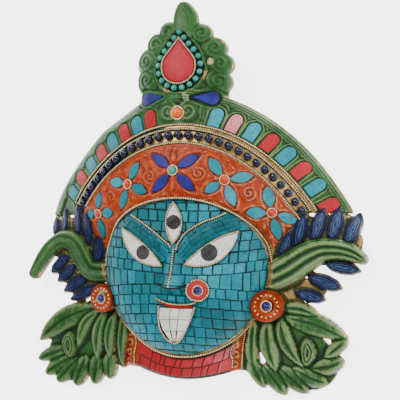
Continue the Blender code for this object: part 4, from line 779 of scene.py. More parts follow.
corals, blues = bmesh.new(), bmesh.new()
coral_tones, blue_tones, coral_nodes, blue_nodes = [], [], [], []
for side, i, cx, cy, out in arch_places():
    shape = [(-8.5, -5.1), (-8.5, -1.7), (-8.5, 1.7), (-8.5, 5.1), (-5.0, 5.25), (-1.0, 5.4)]
    shape += [(3 + ARCH_HALF * math.cos(t), ARCH_HALF * math.sin(t))
              for t in np.linspace(math.pi / 2, -math.pi / 2, 13)]
    shape += [(-1.0, -5.4), (-5.0, -5.25)]
    wobble = rng.uniform(-0.25, 0.25, (len(shape), 2))
    outline = [(cx + out.x * (s + w[0]) - out.y * (t + w[1]), cy + out.y * (s + w[0]) + out.x * (t + w[1]))
               for (s, t), w in zip(shape, wobble)]
    red_one = (i % 2 == 0) == (side == -1)
    tone = 0.55 if side < 0 else 0.72
    if red_one:
        tone = 0.25 if side < 0 else (1.05 if i == 1 else 0.52)
    target, tones = (corals, coral_tones) if red_one else (blues, blue_tones)
    tones.append((cut_stone(target, outline), tone + rng.uniform(-0.06, 0.06)))
    (coral_nodes if red_one else blue_nodes).append("arch_stone_%s_%d" % ("left" if side < 0 else "right", i + 1))
piece("coral_arches", corals, coral, coral_nodes, tone_layers(corals, coral_tones))
piece("turquoise_arches", blues, turquoise, blue_nodes, tone_layers(blues, blue_tones))

PETAL_TONES = {"inner_left": 0.62, "inner_right": 0.76, "outer_left": 0.56, "outer_right": 0.68}
blues, lapises, blue_tones = bmesh.new(), bmesh.new(), []
for label, (cx, cy, radius, petals) in FLOWERS.items():
    for turn, reach, width in petals:
        outline = lens_outline(cx, cy, math.radians(turn), 4.4, reach, width)
        if label == "centre":
            cut_stone(lapises, outline)
        else:
            tone = PETAL_TONES[label] + rng.uniform(-0.13, 0.13)
            blue_tones.append((cut_stone(blues, outline), tone))
piece("turquoise_petals", blues, turquoise, [], tone_layers(blues, blue_tones))
for tip, round_end in DROPS:
    cut_stone(lapises, drop_outline(tip, round_end, 14))
piece("lapis_petals_and_drops", lapises, lapis, ["lapis_drop_left", "lapis_drop_right"])

tear = drop_outline(TEAR_TIP, TEAR_ROUND, 34)
bm = bmesh.new()
DOME = ((1.0, 1.7), (0.97, 2.2), (0.86, 2.75), (0.65, 3.2), (0.4, 3.45), (0.12, 3.55))
made = cut_stone(bm, tear, profile=DOME)
piece("coral_teardrop", bm, coral, ["teardrop"], tone_layers(bm, [(made, 0.56)]))

# Beads: round glass and stone beads on the flowers, the crown's row, the ring round the
# teardrop, the bosses, the nose ring and the orange one between the scrolls. Each is
# drilled or ground round and held in its seat by cement and a wire collar.
def bead(bm, at, radius, squash=1.0, up=None, sides=18, rings=10):
    made = bmesh.ops.create_uvsphere(bm, u_segments=sides, v_segments=rings, radius=radius)["verts"]
    bmesh.ops.scale(bm, vec=(1, 1, squash), verts=made)
    if up:
        bmesh.ops.rotate(bm, matrix=UP.rotation_difference(up).to_matrix(), verts=made)
    bmesh.ops.translate(bm, vec=at, verts=made)


def on_front(x, y, lift=0.0):
    return Vector((x, y, float(front(x, y)) + lift))


def evenly(plan, count, closed):
    line = [Vector(p) for p in plan] + ([Vector(plan[0])] if closed else [])
    reach = np.concatenate([[0.0], np.cumsum([(b - a).length for a, b in zip(line, line[1:])])])
    spots = np.linspace(0, reach[-1], count + (1 if closed else 0))[:count]
    return [tuple(float(np.interp(s, reach, [p[k] for p in line])) for k in range(len(line[0]))) for s in spots]


def oval_line(oval, low, high, count=120):
    turns = np.radians(np.linspace(low, high, count))
    return [(oval[0] + oval[2] * math.sin(a), oval[1] + oval[3] * math.cos(a)) for a in turns]


def glossy(name, low, high, spark, rough):
    """A glossy bead finish with cloudy colour and small worn sparks."""
    paint, flow, shader = finish_named(name)
    cloudy, speck = flow.cloud(260, 4), flow.cloud(900, 4, 0.7)
    colour = cloudy.between(0.3, 0.7).blend(low, high)
    colour = (speck.between(0.64, 0.74) * spark).blend(colour, (0.55, 0.58, 0.62))
    dress(flow, shader, colour, rough + (speck - 0.5) * 0.3, cloudy, 0.0002, coat=0.5)
    shader.inputs["Coat Roughness"].default_value = 0.08
    return paint


navy_glass = glossy("navy_glass", (0.002, 0.003, 0.014), (0.008, 0.012, 0.050), 0.45, 0.22)
violet_glass = glossy("violet_glass", (0.005, 0.003, 0.070), (0.012, 0.008, 0.150), 0.05, 0.12)
red_glass = glossy("red_glass", (0.55, 0.012, 0.001), (0.72, 0.028, 0.003), 0.0, 0.2)
orange_glass = glossy("orange_glass", (0.75, 0.085, 0.001), (0.88, 0.160, 0.003), 0.1, 0.18)
green_glass = glossy("green_glass", (0.010, 0.190, 0.150), (0.030, 0.320, 0.260), 0.12, 0.28)

bm = bmesh.new()
CROWN_BEADS, SMALL_BEADS = 28, 5
for i, (px, py) in enumerate(evenly(oval_line(BEAD_LINE, -44.5, 48.0), CROWN_BEADS, False)):
    less, lower = (0.5, 0.8) if i < SMALL_BEADS else (0, 0)
    size = 4.0 + rng.uniform(-0.25, 0.1) - less
    bead(bm, on_front(px, py, 2.2 - lower), size, 0.9, sides=14, rings=9)
piece("crown_beads", bm, navy_glass, ["bead_row"], sharp=None)
bm = bmesh.new()
for px, py in evenly(grown_outline(tear, 4.8), 19, True):
    bead(bm, on_front(px, py, 0.9), 2.75 + rng.uniform(-0.1, 0.1), 0.95, sides=14, rings=9)
piece("teardrop_ring_beads", bm, green_glass, ["teardrop_beads"], sharp=None)
bm = bmesh.new()
bead(bm, on_front(*CENTRE_BEAD[:2], 0.8), CENTRE_BEAD[2] - 0.4, 0.78, sides=24, rings=14)
piece("orange_bead", bm, orange_glass, ["centre_bead"], sharp=None)
bm = bmesh.new()
outer_flowers = [label for label in FLOWERS if label != "centre"]
for label in outer_flowers:
    cx, cy, radius, _ = FLOWERS[label]
    bead(bm, on_front(cx, cy, 0.9), radius, 0.9, slope_at(front, cx, cy))
piece("red_flower_beads", bm, red_glass, ["flower_" + label for label in outer_flowers], sharp=None)
bm = bmesh.new()
bead(bm, on_front(*FLOWERS["centre"][:2], 0.9), FLOWERS["centre"][2], 0.85)
piece("green_flower_bead", bm, green_glass, ["flower_centre"], sharp=None)
NOSE_DISC, NOSE_DISC_RADIUS = (20.5, -78.0), 8.2
nose_up = Vector((0.38, -0.05, 1)).normalized()
nose_at = on_front(*NOSE_DISC) + nose_up * 5.1
boss_up = {side: Vector((side * BOSS_TILT, 0, 1)).normalized() for side in ROSETTES}
bm = bmesh.new()
for side, (cx, cy, _) in ROSETTES.items():
    bead(bm, Vector((cx, cy, BOSS_LEVEL + 1.8)), 3.9, 1.0, boss_up[side])
bead(bm, nose_at, 3.6, 1.0, nose_up)
piece("violet_beads", bm, violet_glass,
      ["rosette_bead_left", "rosette_bead_right", "nose_bead"], sharp=None)

# Boss discs: a round fluted disc on each side of the chin, pressed from thin brass, painted
# red and rubbed bare on the flutes. It is soldered to the casting at a tilt, facing outwards.
BOSS_CUT = ((1.0, 0.6), (0.97, 1.5), (0.9, 1.9), (0.84, 1.4), (0.8, 1.1), (0.74, 1.7), (0.66, 2.0),
            (0.58, 1.5), (0.53, 1.0), (0.47, 1.9), (0.42, 1.9), (0.37, 1.2), (0.1, 1.2))


def flat(height):
    return lambda x, y: 0 * x + height


bm, bosses = bmesh.new(), []
for side, (cx, cy, radius) in ROSETTES.items():
    for vert in cut_stone(bm, ring_outline(cx, cy, radius, 84), flat(BOSS_LEVEL + 0.4), BOSS_CUT, 3.0, UP):
        px, py = vert.co.x - cx, vert.co.y - cy
        share, turn = math.hypot(px, py) / radius, math.atan2(py, px)
        fluted = math.cos(turn * BOSS_FLUTES) * math.exp(-((share - 0.69) / 0.09) ** 2)
        vert.co.z += 0.45 * fluted - BOSS_TILT * px * side
        bosses.append(([vert], 0.9 * max(fluted, 0) + (0.55 if 0.4 < share < 0.48 else 0)))
bare = tone_layers(bm, bosses)["tone"]
full = np.ones(len(bm.verts))
# The discs carry the pale layer, a painted highlight, all over.
piece("boss_discs", bm, cast_paint, [], {"red": full, "bare": bare, "pale": full * 0.6}, None)

# The face: turquoise tiles of about nine millimetres, bedded in dark cement on the cast
# bowl and ground to the curve of cheeks, brows, nose and chin. Longer strips make the brows.
def features(x, y):
    along = np.clip((NOSE_ROOT[1] - y) / (NOSE_ROOT[1] - NOSE_TIP[1]), 0, 1)
    height = NOSE_ROOT[2] + (NOSE_TIP[2] - NOSE_ROOT[2]) * along ** 1.25
    height = height * ramp((y - NOSE_TIP[1] + 7) / 7) * ramp((NOSE_ROOT[1] + 8 - y) / 10)
    nose = height * (1 - ramp(np.abs(x) / (5.5 + (NOSE_HALF_WIDTH - 5.5) * along))) ** 0.8
    side = np.abs(x - 1)
    brow = 3.2 * np.exp(-(((y + 37 - 0.62 * (side - 14)) / 6.5) ** 2)) * ramp((side - 5) / 8) * ramp((66 - side) / 18)
    mounds = 0
    for amount, middle, wide, level, tall, power in (
            (2.6, 0, 17, -86, 4.5, 2), (-1.6, 0, 15, -94.5, 3.0, 4), (-1.8, 30, 19, -46, 11, 2),
            (1.8, 42, 20, -86, 20, 2), (2.2, 0, 22, -124, 9, 2)):
        mounds = mounds + amount * np.exp(-(((y - level) / tall) ** 2) - ((side - middle) / wide) ** power)
    return nose + brow + mounds


def face_front(x, y):
    x, y = np.asarray(x, float), np.asarray(y, float)
    return front(x, y) + features(x, y) * ramp((1 - face_share(x, y)) / 0.25)


def joined(target, part):
    """Add a small mesh to a large one in one go."""
    data = bpy.data.meshes.new("part")
    part.to_mesh(data)
    part.free()
    target.from_mesh(data)
    bpy.data.meshes.remove(data)


def tile(target, tones, tone, corners, level, lift, rim=None, gap=0.42, drop=0.5, bed=1.5):
    """One small slab over four corners, its edges broken, cut off at the rim of the field."""
    bm, cells = bmesh.new(), 4
    made = bmesh.ops.create_grid(bm, x_segments=cells, y_segments=cells, size=1)["verts"]
    a, b, c, d = (Vector(p) for p in corners)
    wide, tall = max((b - a).length, 1.0), max((d - a).length, 1.0)
    plan, low = [], []
    for vert in made:
        u, v = (vert.co.x + 1) / 2, (vert.co.y + 1) / 2
        low.append(min(u, 1 - u, v, 1 - v) < 0.01)
        u, place = u if 0.01 < u < 0.99 else (0.0 if u < 0.5 else 1.0), []
        for share, size in ((u, wide), (v, tall)):
            stretch = 1 if share in (0.0, 1.0) else 1 / (1 - 2 / cells) * (1 - 1.1 / size)
            place.append(gap / size + (0.5 + (share - 0.5) * stretch) * (1 - 2 * gap / size))
        u, v = place
        plan.append(a * (1 - u) * (1 - v) + b * u * (1 - v) + c * u * v + d * (1 - u) * v)
    if rim:
        for k, spot in enumerate(plan):
            over = math.sqrt(face_share(*spot)) / rim
            if over > 1:
                plan[k] = Vector((FACE_X + (spot.x - FACE_X) / over, FACE_Y + (spot.y - FACE_Y) / over))
                low[k] = True
    heights = level(np.array([p.x for p in plan]), np.array([p.y for p in plan]))
    for vert, spot, height, edge in zip(made, plan, heights, low):
        vert.co = (spot.x, spot.y, float(height) + lift - (drop if edge else 0))
    faces = list({face for vert in made for face in vert.link_faces})
    grown = bmesh.ops.extrude_face_region(bm, geom=faces)["geom"]
    lower = [item for item in grown if isinstance(item, bmesh.types.BMVert)]
    bmesh.ops.translate(bm, vec=(0, 0, bed), verts=lower)
    bmesh.ops.translate(bm, vec=(0, 0, -bed), verts=made + lower)
    tones += [tone] * len(bm.verts)
    joined(target, bm)


BROW_TOP = {-1: ((-46.5, -16.0), (-40.0, -13.7), (-29.0, -20.5), (-20.3, -26.6), (-11.6, -33.3), (-2.5, -40.9)),
            1: ((50.0, -13.0), (44.1, -12.6), (36.4, -16.4), (27.6, -19.1), (20.9, -22.4), (15.3, -25.6), (9.7, -30.0),
                (6.4, -34.3), (3.9, -38.7), (2.9, -43.1))}
BROW_LOW = {-1: ((-51.7, -25.9), (-46.5, -27.6), (-39.6, -33.2), (-33.2, -38.8), (-25.7, -43.2), (-18.1, -47.6),
                 (-9.0, -54.5)),
            1: ((58.0, -24.5), (55.7, -26.2), (47.7, -30.5), (39.4, -33.3), (32.0, -36.5), (24.4, -40.3), (16.7, -46.9),
                (8.0, -54.0))}
BROW_PLACES, BROW_ROWS = 200, 4
EYES = {-1: ((-51.0, -25.0), (-11.0, -57.5), 3.5, 11.0), 1: ((54.5, -28.0), (10.0, -56.0), 4.0, 13.0)}


def in_shape(x, y, outline):
    inside, j = False, len(outline) - 1
    for i, (ax, ay) in enumerate(outline):
        bx, by = outline[j]
        if (ay > y) != (by > y) and x < (bx - ax) * (y - ay) / (by - ay) + ax:
            inside = not inside
        j = i
    return inside


def almond(start, end, above, below):
    dx, dy = end[0] - start[0], end[1] - start[1]
    size = math.hypot(dx, dy)
    nx, ny = -dy / size, dx / size
    if ny < 0 or (ny == 0 and nx < 0):
        nx, ny = -nx, -ny
    outline = []
    for t in np.arange(LENS_POINTS * 2) / LENS_POINTS:
        share = t if t <= 1 else 2 - t
        lift = (above if t < 1 else -below) * (4 * share * (1 - share)) ** 0.9
        outline.append((start[0] + dx * share + nx * lift, start[1] + dy * share + ny * lift))
    return outline


TONGUE = [(-12.9, -93.5), (-13.6, -103.4), (-12.9, -111.5), (-10.0, -118.0), (-6.5, -121.6), (-2.0, -123.4),
          (2.0, -122.0), (5.2, -118.4), (9.8, -110.0), (14.4, -101.0), (17.0, -94.0)]
# Lighter and darker patches across the face tiles: painted light and shade, lit on the right cheek and forehead, shaded
# beside the nose, on the left and low on the right.
LIGHT_AND_SHADE_PATCHES = ((0.28, 30, 22, -68, 16), (0.26, 22, 16, -9, 9), (-0.20, 42, 24, -103, 18),
                (-0.16, -12, 14, -68, 16), (-0.12, -66, 10, -50, 25))
eye_shapes = {side: almond(*row) for side, row in EYES.items()}
brow_eye = almond((-0.5, -4.5), (-0.5, -37.0), 6.4, 6.4)
brow_fields = {side: list(BROW_TOP[side]) + list(BROW_LOW[side][::-1]) for side in (-1, 1)}
covered = (*eye_shapes.values(), *brow_fields.values(), brow_eye, TONGUE)
hidden_under = [grown_outline(shape, -1.0) for shape in covered]

bm, tones = bmesh.new(), []
row_edges = [-139.0]
while row_edges[-1] < 3:
    small = 0.78 if row_edges[-1] < -118 or row_edges[-1] > -14 else 1
    row_edges.append(row_edges[-1] + rng.uniform(8.4, 10.2) * small)
for low, high in zip(row_edges, row_edges[1:]):
    splits = [-80.0 + rng.uniform(-3, 3)]
    while splits[-1] < 82:
        reach = abs(splits[-1] - FACE_X) / FACE_HALF_WIDTH
        splits.append(splits[-1] + rng.uniform(7.8, 10.8) * (1 - 0.45 * min(reach, 1) ** 3))
    for left, right in zip(splits, splits[1:]):
        lean = 0.07 * (left - FACE_X) / 77
        ends = ((left, low), (right, low), (right, high), (left, high))
        wave = [(-1.6 * math.sin((px - FACE_X) / 30.0) + 0.0009 * (px - FACE_X) ** 2 * (1 if py > -70 else -1)
                 + rng.uniform(-0.35, 0.35)) for px, py in ends]
        corners = [(px + rng.uniform(-0.4, 0.4) + lean * (py + 70), py + lift) for (px, py), lift in zip(ends, wave)]
        middle = Vector((sum(c[0] for c in corners) / 4, sum(c[1] for c in corners) / 4))
        if min(face_share(*c) for c in corners) > 0.93:
            continue
        if any(all(in_shape(*c, shape) for c in corners + [tuple(middle)]) for shape in hidden_under):
            continue
        tone = 0.56 + rng.uniform(-0.10, 0.10)
        for amount, px, wide, py, tall in LIGHT_AND_SHADE_PATCHES:
            tone += amount * math.exp(-((middle.x - px) / wide) ** 2 - ((middle.y - py) / tall) ** 2)
        # Upper left tiles are darker: painted shadow under the crown's edge.
        if middle.y > -45 and middle.x < 5:
            tone -= 0.06
        tile(bm, tones, tone, corners, face_front, -0.12 + rng.uniform(-0.12, 0.1), rim=0.972)
for side in (-1, 1):
    top, low = (evenly(line[side], BROW_PLACES, False) for line in (BROW_TOP, BROW_LOW))
    for k in range(BROW_ROWS):
        splits = [0.0]
        while splits[-1] < 0.93:
            splits.append(min(splits[-1] + rng.uniform(0.10, 0.24), 1.0))
        splits[-1] = 1.0
        for first, last in zip(splits, splits[1:]):
            corners = []
            for share, row in ((first, k), (last, k), (last, k + 1), (first, k + 1)):
                i, across = round(share * (BROW_PLACES - 1)), row / BROW_ROWS
                corners.append((top[i][0] * (1 - across) + low[i][0] * across,
                                top[i][1] * (1 - across) + low[i][1] * across))
            if side > 0:
                corners = [corners[1], corners[0], corners[3], corners[2]]
            tone = 0.30 + rng.uniform(-0.08, 0.08) + (0.12 if last > 0.85 else 0)
            tile(bm, tones, tone, corners, face_front, 0.75 - 0.2 * abs(k - 1.5), gap=0.17, drop=0.35)
piece("face_tiles", bm, turquoise, ["face_mosaic"], {"tone": tones}, 32)

cement, flow, shader = finish_named("dark_cement")
grain = flow.cloud(700, 4, 0.7)
cement_colour = grain.between(0.35, 0.7).blend((0.008, 0.006, 0.004), (0.032, 0.021, 0.013))
dress(flow, shader, cement_colour, 0.75, grain, 0.0003)
bm = bmesh.new()
bmesh.ops.create_circle(bm, cap_ends=True, cap_tris=True, segments=96, radius=1)
bmesh.ops.subdivide_edges(bm, edges=[e for e in bm.edges if min(v.co.length for v in e.verts) < 0.5], cuts=34)
bmesh.ops.triangulate(bm, faces=bm.faces)
grown = bmesh.ops.extrude_face_region(bm, geom=bm.faces[:])["geom"]
upper = {item for item in grown if isinstance(item, bmesh.types.BMVert)}
for vert in bm.verts:
    half = FACE_UP if vert.co.y > 0 else FACE_DOWN
    px, py = FACE_X + FACE_HALF_WIDTH * 0.985 * vert.co.x, FACE_Y + half * 0.985 * vert.co.y
    bed = float(face_front(px, py)) - (1.0 if vert in upper else 2.6)
    vert.co = (px, py, bed)
piece("face_cement", bm, cement, sharp=60)

# Eyes and mouth: whites, tongue and lip sawn from shell and red stone, with round dark
# pupils let in. The tongue is nine fitted slabs that bow outwards over the chin.
shell, flow, shader = finish_named("white_shell")
cloudy, grain = flow.cloud(90, 4), flow.cloud(600, 4)
crack = flow.cracks(120.0, 0.022) * cloudy.between(0.42, 0.6)
body = cloudy.between(0.3, 0.7).blend((0.62, 0.60, 0.55), (0.82, 0.81, 0.78))
body = (crack * 0.6).blend(body, (0.16, 0.13, 0.10))
dress(flow, shader, body, 0.38, grain - crack * 0.8, 0.0002)
slate, flow, shader = finish_named("grey_slate")
cloudy = flow.cloud(160, 4)
slate_colour = cloudy.between(0.3, 0.7).blend((0.018, 0.019, 0.020), (0.050, 0.051, 0.053))
dress(flow, shader, slate_colour, 0.42, cloudy, 0.0002)

SHELL_CUT = ((1.0, 0.9), (0.97, 1.25), (0.85, 1.45), (0.5, 1.6), (0.15, 1.65))
PUPIL_CUT = ((1.0, 1.8), (0.94, 2.15), (0.75, 2.35), (0.4, 2.45), (0.12, 2.5))
bm = bmesh.new()
for shape in (*eye_shapes.values(), brow_eye):
    cut_stone(bm, shape, face_front, SHELL_CUT, up=UP)
piece("eye_whites", bm, shell, ["eye_white_left", "eye_white_right", "eye_white_brow"])
bm = bmesh.new()
for px, py, radius in ((-29.0, -46.0, 6.4), (31.0, -46.0, 7.3), (-0.5, -20.0, 6.3)):
    cut_stone(bm, ring_outline(px, py, radius, 28), face_front, PUPIL_CUT, up=UP)
piece("pupils", bm, slate, ["pupil_left", "pupil_right", "pupil_brow"])


def tongue_level(x, y):
    along = np.clip((-93 - np.asarray(y, float)) / 30, 0, 1)
    return front(x, y) + 2.4 + 1.6 * np.sin(along * math.pi) ** 0.7


bm, tones = bmesh.new(), []
TONGUE_LEFT = [(-12.9, -93.3), (-13.6, -103.4), (-11.0, -113.5), (-5.4, -123.0)]
TONGUE_RIGHT = [(17.0, -93.8), (13.9, -103.4), (9.2, -113.5), (2.4, -123.0)]
TONGUE_SPLITS = (0, 0.34, 0.62, 1)
for j in range(3):
    for i in range(3):
        corners = [tuple(Vector(TONGUE_LEFT[b]).lerp(Vector(TONGUE_RIGHT[b]), TONGUE_SPLITS[a]))
                   for a, b in ((i, j + 1), (i + 1, j + 1), (i + 1, j), (i, j))]
        tile(bm, tones, 0.5, corners, tongue_level, 0.0, gap=0.26, drop=0.3, bed=1.0)
bed = bmesh.new()
cut_stone(bed, grown_outline(TONGUE, -0.3), tongue_level, ((1.0, -0.7), (0.6, -0.6), (0.2, -0.6)), 2.4, UP)
piece("tongue_cement", bed, cement)
piece("tongue_slabs", bm, shell, ["tongue"], {}, 32)

bm = bmesh.new()
upper_lip, lower_lip = [], []
for i in range(12):
    t = i / 11
    px, py = ((1 - t) ** 2 * a + 2 * t * (1 - t) * b + t * t * c
              for a, b, c in ((-14.5, 1.0, 18.0), (-87.5, -95.5, -91.5)))
    half = 1.5 * (4 * t * (1 - t)) ** 0.5
    upper_lip.append((px, py + half))
    lower_lip.append((px, py - half))
made = cut_stone(bm, upper_lip + lower_lip[-2:0:-1], front, ((1.0, 2.5), (0.9, 3.0), (0.4, 3.1)), 0.5, UP)
piece("lip_strip", bm, coral, ["lip"], tone_layers(bm, [(made, 0.12)]))

bm = bmesh.new()
disc_level = float(front(*NOSE_DISC))
NOSE_CUT = ((1.0, 4.0), (0.95, 4.5), (0.7, 4.8), (0.4, 4.9))
made = cut_stone(bm, ring_outline(*NOSE_DISC, NOSE_DISC_RADIUS, 32), flat(disc_level), NOSE_CUT, 2.0, UP)
for vert in made:
    px, py = vert.co.x - NOSE_DISC[0], vert.co.y - NOSE_DISC[1]
    vert.co.z -= (px * nose_up.x + py * nose_up.y) / nose_up.z
    vert.co.x += nose_up.x * 4.0
piece("nose_disc_stone", bm, coral, ["nose_disc"], tone_layers(bm, [(made, 0.58)]))

# The neck: red stone tiles in two rows under the chin, sawn and bedded in dark cement like
# those of the face, and ground to the curve. They are redder on the left half.
def neck_level(x, y):
    return front(x, y) + 0.4


bm, tones = bmesh.new(), []
COLUMNS, NECK_ROWS = 11, 2
NECK_FOOT, NECK_FOOT_WIDE, NECK_HEAD, NECK_HEAD_WIDE = -47.0, 88.5, -42.5, 91.0
for j in range(NECK_ROWS):
    shift = rng.uniform(-0.03, 0.03, COLUMNS + 1)
    for i in range(COLUMNS):
        corners = []
        for a, b in ((i, 0), (i + 1, 0), (i + 1, 1), (i, 1)):
            share = a / COLUMNS
            if 0 < a < COLUMNS:
                share += shift[a] + (0.045 if j else -0.045)
            bottom_x, top_x = NECK_FOOT + share * NECK_FOOT_WIDE, NECK_HEAD + share * NECK_HEAD_WIDE
            base = -148.0 - 8.0 * max(0.0, 1 - (bottom_x / 45.0) ** 2)
            chin = FACE_Y - 83.6 * math.sqrt(max(0.0, 1 - ((top_x - FACE_X) / 79.5) ** 2))
            level_share = (j + b) / NECK_ROWS
            corners.append((bottom_x + (top_x - bottom_x) * level_share, base + (chin - base) * level_share))
        mid_x = sum(c[0] for c in corners) / 4
        tone = 0.18 + 0.58 * (0.5 + mid_x / 90) + (0.10 if j else -0.02) + rng.uniform(-0.05, 0.05)
        tile(bm, tones, tone, corners, neck_level, 0.0, gap=0.34, drop=0.5, bed=1.6)
piece("neck_tiles", bm, coral, ["neck_mosaic"], {"tone": tones}, 32)

# Beaded brass wire: drawn wire rolled into small grains, soldered along every edge, and
# plain round collars that hold the beads. A dark strip under the grains is painted shade in
# the gaps between them.
gold, flow, shader = finish_named("beaded_brass")
grain = flow.cloud(500, 4, 0.6)
gold_colour = grain.between(0.35, 0.75).blend((0.62, 0.43, 0.18), (0.97, 0.84, 0.55))
dress(flow, shader, gold_colour, 0.30 + (grain - 0.5) * 0.3, grain, 0.0002, metal=0.35)
grains, shade_strip = bmesh.new(), bmesh.new()


def beaded(plan, level, lift, closed=False, radius=0.95, pitch=1.95, plain=False):
    """Grains on a dark strip of painted shade along a line drawn in plan."""
    xs, ys = np.array([p[0] for p in plan]), np.array([p[1] for p in plan])
    line = [Vector((a, b, float(c) + lift)) for a, b, c in zip(xs, ys, level(xs, ys))]
    loop = line + ([line[0]] if closed else [])
    length = sum((b - a).length for a, b in zip(loop, loop[1:]))
    count = max(round(length / pitch), 4)
    part, strip = bmesh.new(), bmesh.new()
    for spot in [] if plain else evenly([tuple(p) for p in line], count, closed):
        bmesh.ops.create_uvsphere(part, u_segments=7, v_segments=5, radius=radius,
                                  matrix=Matrix.Translation(spot))
    rings = []
    for i, spot in enumerate(line):
        before = line[i - 1] if closed or i else spot
        after = line[(i + 1) % len(line)] if closed or i < len(line) - 1 else spot
        turned = UP.rotation_difference((after - before).normalized()).to_matrix().to_4x4()
        low = Matrix.Translation(spot - Vector((0, 0, radius * 0.75)))
        rings.append(bmesh.ops.create_circle(strip, segments=6, radius=radius * 1.3, matrix=low @ turned)["verts"])
    neighbours = list(zip(rings, rings[1:])) + ([(rings[-1], rings[0])] if closed else [])
    for a, b in neighbours:
        edges = {e for ring in (a, b) for v in ring for e in v.link_edges
                 if e.verts[0] in ring and e.verts[1] in ring}
        bmesh.ops.bridge_loops(strip, edges=list(edges))
    if not closed:
        for ring in (rings[0], rings[-1]):
            bmesh.ops.contextual_create(strip, geom=ring)
    joined(grains, part)
    joined(shade_strip, strip)


def smooth_line(points, count):
    """Even places along a curve through a few points."""
    return evenly(curve(points, 8).tolist(), count, False)


beaded(oval_line(WIRE_OUTER, -47, 50.5, 60), front, 1.5)
beaded(oval_line(WIRE_MIDDLE, -46.5, 49.5, 60), front, 1.5)
beaded(oval_line(WIRE_INNER, -43, 49.5, 60), front, 1.5)
rim_line = []
for a in np.linspace(0, 2 * math.pi, 120, endpoint=False):
    half = FACE_UP if math.cos(a) > 0 else FACE_DOWN
    rim_line.append((FACE_X + (FACE_HALF_WIDTH + 0.3) * math.sin(a), FACE_Y + (half + 0.3) * math.cos(a)))
beaded(rim_line, ground, 3.6, True, radius=1.05, pitch=2.05)
beaded(grown_outline(tear, 1.1), front, 2.4, True, radius=0.85, pitch=1.75)
for side in (-1, 1):
    beaded(smooth_line(BROW_TOP[side][1:], 34), face_front, 1.3)
    shape = eye_shapes[side]
    beaded(smooth_line([shape[i] for i in (0, 2, 4, 6, 8, 9)], 36), face_front, 1.45, radius=0.82, pitch=1.7)
    beaded(smooth_line([shape[i] for i in (9, 10, 12, 14, 16, 17, 0)], 36), face_front, 1.3, radius=0.78, pitch=1.6)
beaded(grown_outline(brow_eye, 0.9), face_front, 1.3, True, radius=0.85, pitch=1.75)
beaded(smooth_line(((0.4, -43.5), (0.5, -51.7), (0.6, -59.2), (0.3, -67.6), (-0.6, -74.5)), 24), face_front, -0.1,
       radius=0.85)
beaded(smooth_line(((-15.2, -85.6), (-9.5, -88.2), (-3.8, -89.7), (1.7, -90.4), (6.3, -90.5), (14.3, -90.0),
                    (19.0, -88.6)), 26), face_front, 2.0, radius=0.8, pitch=1.7)
# A dark strip with no grains along the foot of the nose: painted shadow under the nose.
beaded(smooth_line(((-17.6, -72.8), (-10.0, -75.0), (-1.6, -76.2), (6.0, -76.0), (11.7, -74.0)), 24), face_front, 0.0,
       radius=0.8, plain=True)
beaded(smooth_line(grown_outline(TONGUE, 0.9), 44), front, 2.7, radius=0.85, pitch=1.75)
disc_line = []
for a in np.radians(np.linspace(120, -215, 40)):
    offset = Vector((8.9 * math.cos(a), 8.9 * math.sin(a), 0))
    offset.z = -(offset.x * nose_up.x + offset.y * nose_up.y) / nose_up.z
    disc_line.append(Vector((NOSE_DISC[0] + nose_up.x * 4, NOSE_DISC[1], disc_level + 4.0)) + offset)
heights = [p.z for p in disc_line]
beaded([p.xy for p in disc_line], lambda x, y: np.array(heights), 0.0, radius=0.88, pitch=1.8)
for plan in (((-59.5, -112.4), (-60.2, -123.9), (-61.4, -137.1), (-62.6, -148.5)),
             ((-47.2, -121.3), (-45.6, -127.3), (-48.2, -136.9), (-49.3, -147.0)),
             ((55.5, -112.8), (52.9, -125.3), (51.3, -137.6), (50.2, -147.5)),
             ((43.6, -128.2), (42.0, -133.4), (43.4, -139.6), (42.8, -146.0))):
    beaded(smooth_line(plan, 18), front, 1.0, radius=0.82, pitch=1.75)
for side, (cx, cy, radius) in ROSETTES.items():
    for px, py in ring_outline(cx, cy, radius * 0.70, 16):
        spot = Vector((px, py, BOSS_LEVEL + 2.1 - BOSS_TILT * (px - cx) * side))
        bmesh.ops.create_uvsphere(grains, u_segments=7, v_segments=5, radius=0.95, matrix=Matrix.Translation(spot))
nodes = ["wire_crown_outer", "wire_crown_inner", "wire_face", "wire_teardrop"]
piece("wire_grains", grains, gold, nodes, sharp=None)
# The dark strip under the grains is painted shade.
piece("wire_shade_strip", shade_strip, cement, sharp=50)

collars = bmesh.new()


def collar(at, radius, up, tube=0.55):
    """A round wire ring pressed round a bead."""
    turned = UP.rotation_difference(up).to_matrix().to_4x4()
    first = bmesh.ops.create_circle(collars, segments=8, radius=tube, matrix=Matrix.Translation((radius, 0, 0))
                                    @ Matrix.Rotation(math.pi / 2, 4, "X"))["verts"]
    edges = list({e for v in first for e in v.link_edges})
    bmesh.ops.spin(collars, geom=first + edges, cent=(0, 0, 0), axis=(0, 0, 1), angle=2 * math.pi, steps=28,
                   use_merge=True)
    made, frontier = set(first), list(first)
    while frontier:
        vert = frontier.pop()
        found = {edge.other_vert(vert) for edge in vert.link_edges} - made
        made |= found
        frontier += found
    bmesh.ops.transform(collars, matrix=Matrix.Translation(at) @ turned, verts=list(made))


for cx, cy, radius, _ in FLOWERS.values():
    collar(on_front(cx, cy, 0.7), radius + 0.7, slope_at(front, cx, cy))
collar(on_front(*CENTRE_BEAD[:2], 0.9), CENTRE_BEAD[2] + 0.5, UP, 0.7)
for side, (cx, cy, _) in ROSETTES.items():
    collar(Vector((cx, cy, BOSS_LEVEL + 2.2)), 4.6, boss_up[side], 0.6)
collar(nose_at - nose_up * 0.2, 4.2, nose_up, 0.55)
piece("bead_collars", collars, gold, sharp=None)

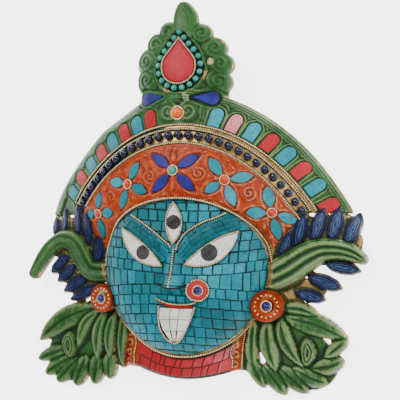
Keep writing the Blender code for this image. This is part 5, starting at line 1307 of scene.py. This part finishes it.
# The studio: a pale matt floor under the mask, three soft lamps above it and the camera at
# the photograph's angle. None of this belongs to the mask.
floor_paint, flow, shader = finish_named("pale_floor")
grain = flow.cloud(3, 2)
dress(flow, shader, grain.between(0.2, 0.8).blend((0.92, 0.92, 0.92), (0.95, 0.95, 0.95)), 0.7)
FLOOR_GLOW, ROOM_GLOW, FLOOR_HALF = 3.6, 0.5, 4.0
LAMPS = (("key", (-0.45, 0.75, 1.25), 0.6, 19.0), ("fill", (0.9, 0.3, 1.1), 0.8, 9.0),
         ("low", (0.1, -1.2, 0.9), 0.9, 5.0))
shader.inputs["Emission Color"].default_value = (1, 1, 1, 1)
shader.inputs["Emission Strength"].default_value = FLOOR_GLOW
bm = bmesh.new()
bmesh.ops.create_grid(bm, x_segments=2, y_segments=2, size=FLOOR_HALF)
data = bpy.data.meshes.new("floor")
bm.to_mesh(data)
bm.free()
data.materials.append(floor_paint)
floor = bpy.data.objects.new("floor", data)
bpy.context.scene.collection.objects.link(floor)

world = bpy.data.worlds.new("studio")
bpy.context.scene.world = world
world.use_nodes = True
world.node_tree.nodes["Background"].inputs[0].default_value = (1, 1, 1, 1)
world.node_tree.nodes["Background"].inputs[1].default_value = ROOM_GLOW
for name, at, size, power in LAMPS:
    lamp = bpy.data.lights.new(name, "AREA")
    lamp.size = size
    lamp.energy = power
    lamp_object = bpy.data.objects.new(name, lamp)
    lamp_object.location = at
    lamp_object.rotation_mode = "QUATERNION"
    lamp_object.rotation_quaternion = Vector(at).to_track_quat("Z", "Y")
    bpy.context.scene.collection.objects.link(lamp_object)

PHOTO_PIXELS, FOCAL_PIXELS, FILM_WIDTH = 400, 904.0, 36
LOOKED_AT, DISTANCE = Vector((15.0, 0.0, 40.0)), 0.8
azimuth, tilt = math.radians(16.7), math.radians(-2.4)
back = Vector((math.sin(azimuth) * math.cos(tilt), math.sin(tilt), math.cos(azimuth) * math.cos(tilt)))
across = Vector((math.cos(azimuth), 0, -math.sin(azimuth)))
camera = bpy.data.cameras.new("photo_view")
camera.lens = FOCAL_PIXELS / PHOTO_PIXELS * FILM_WIDTH
camera.sensor_width = FILM_WIDTH
camera_object = bpy.data.objects.new("photo_view", camera)
turned = Matrix((across, back.cross(across), back)).transposed().to_4x4()
target = (LOOKED_AT + LAID) / 1000
camera_object.matrix_world = Matrix.Translation(target + back * DISTANCE) @ turned
bpy.context.scene.collection.objects.link(camera_object)
bpy.context.scene.camera = camera_object

bpy.context.view_layer.update()
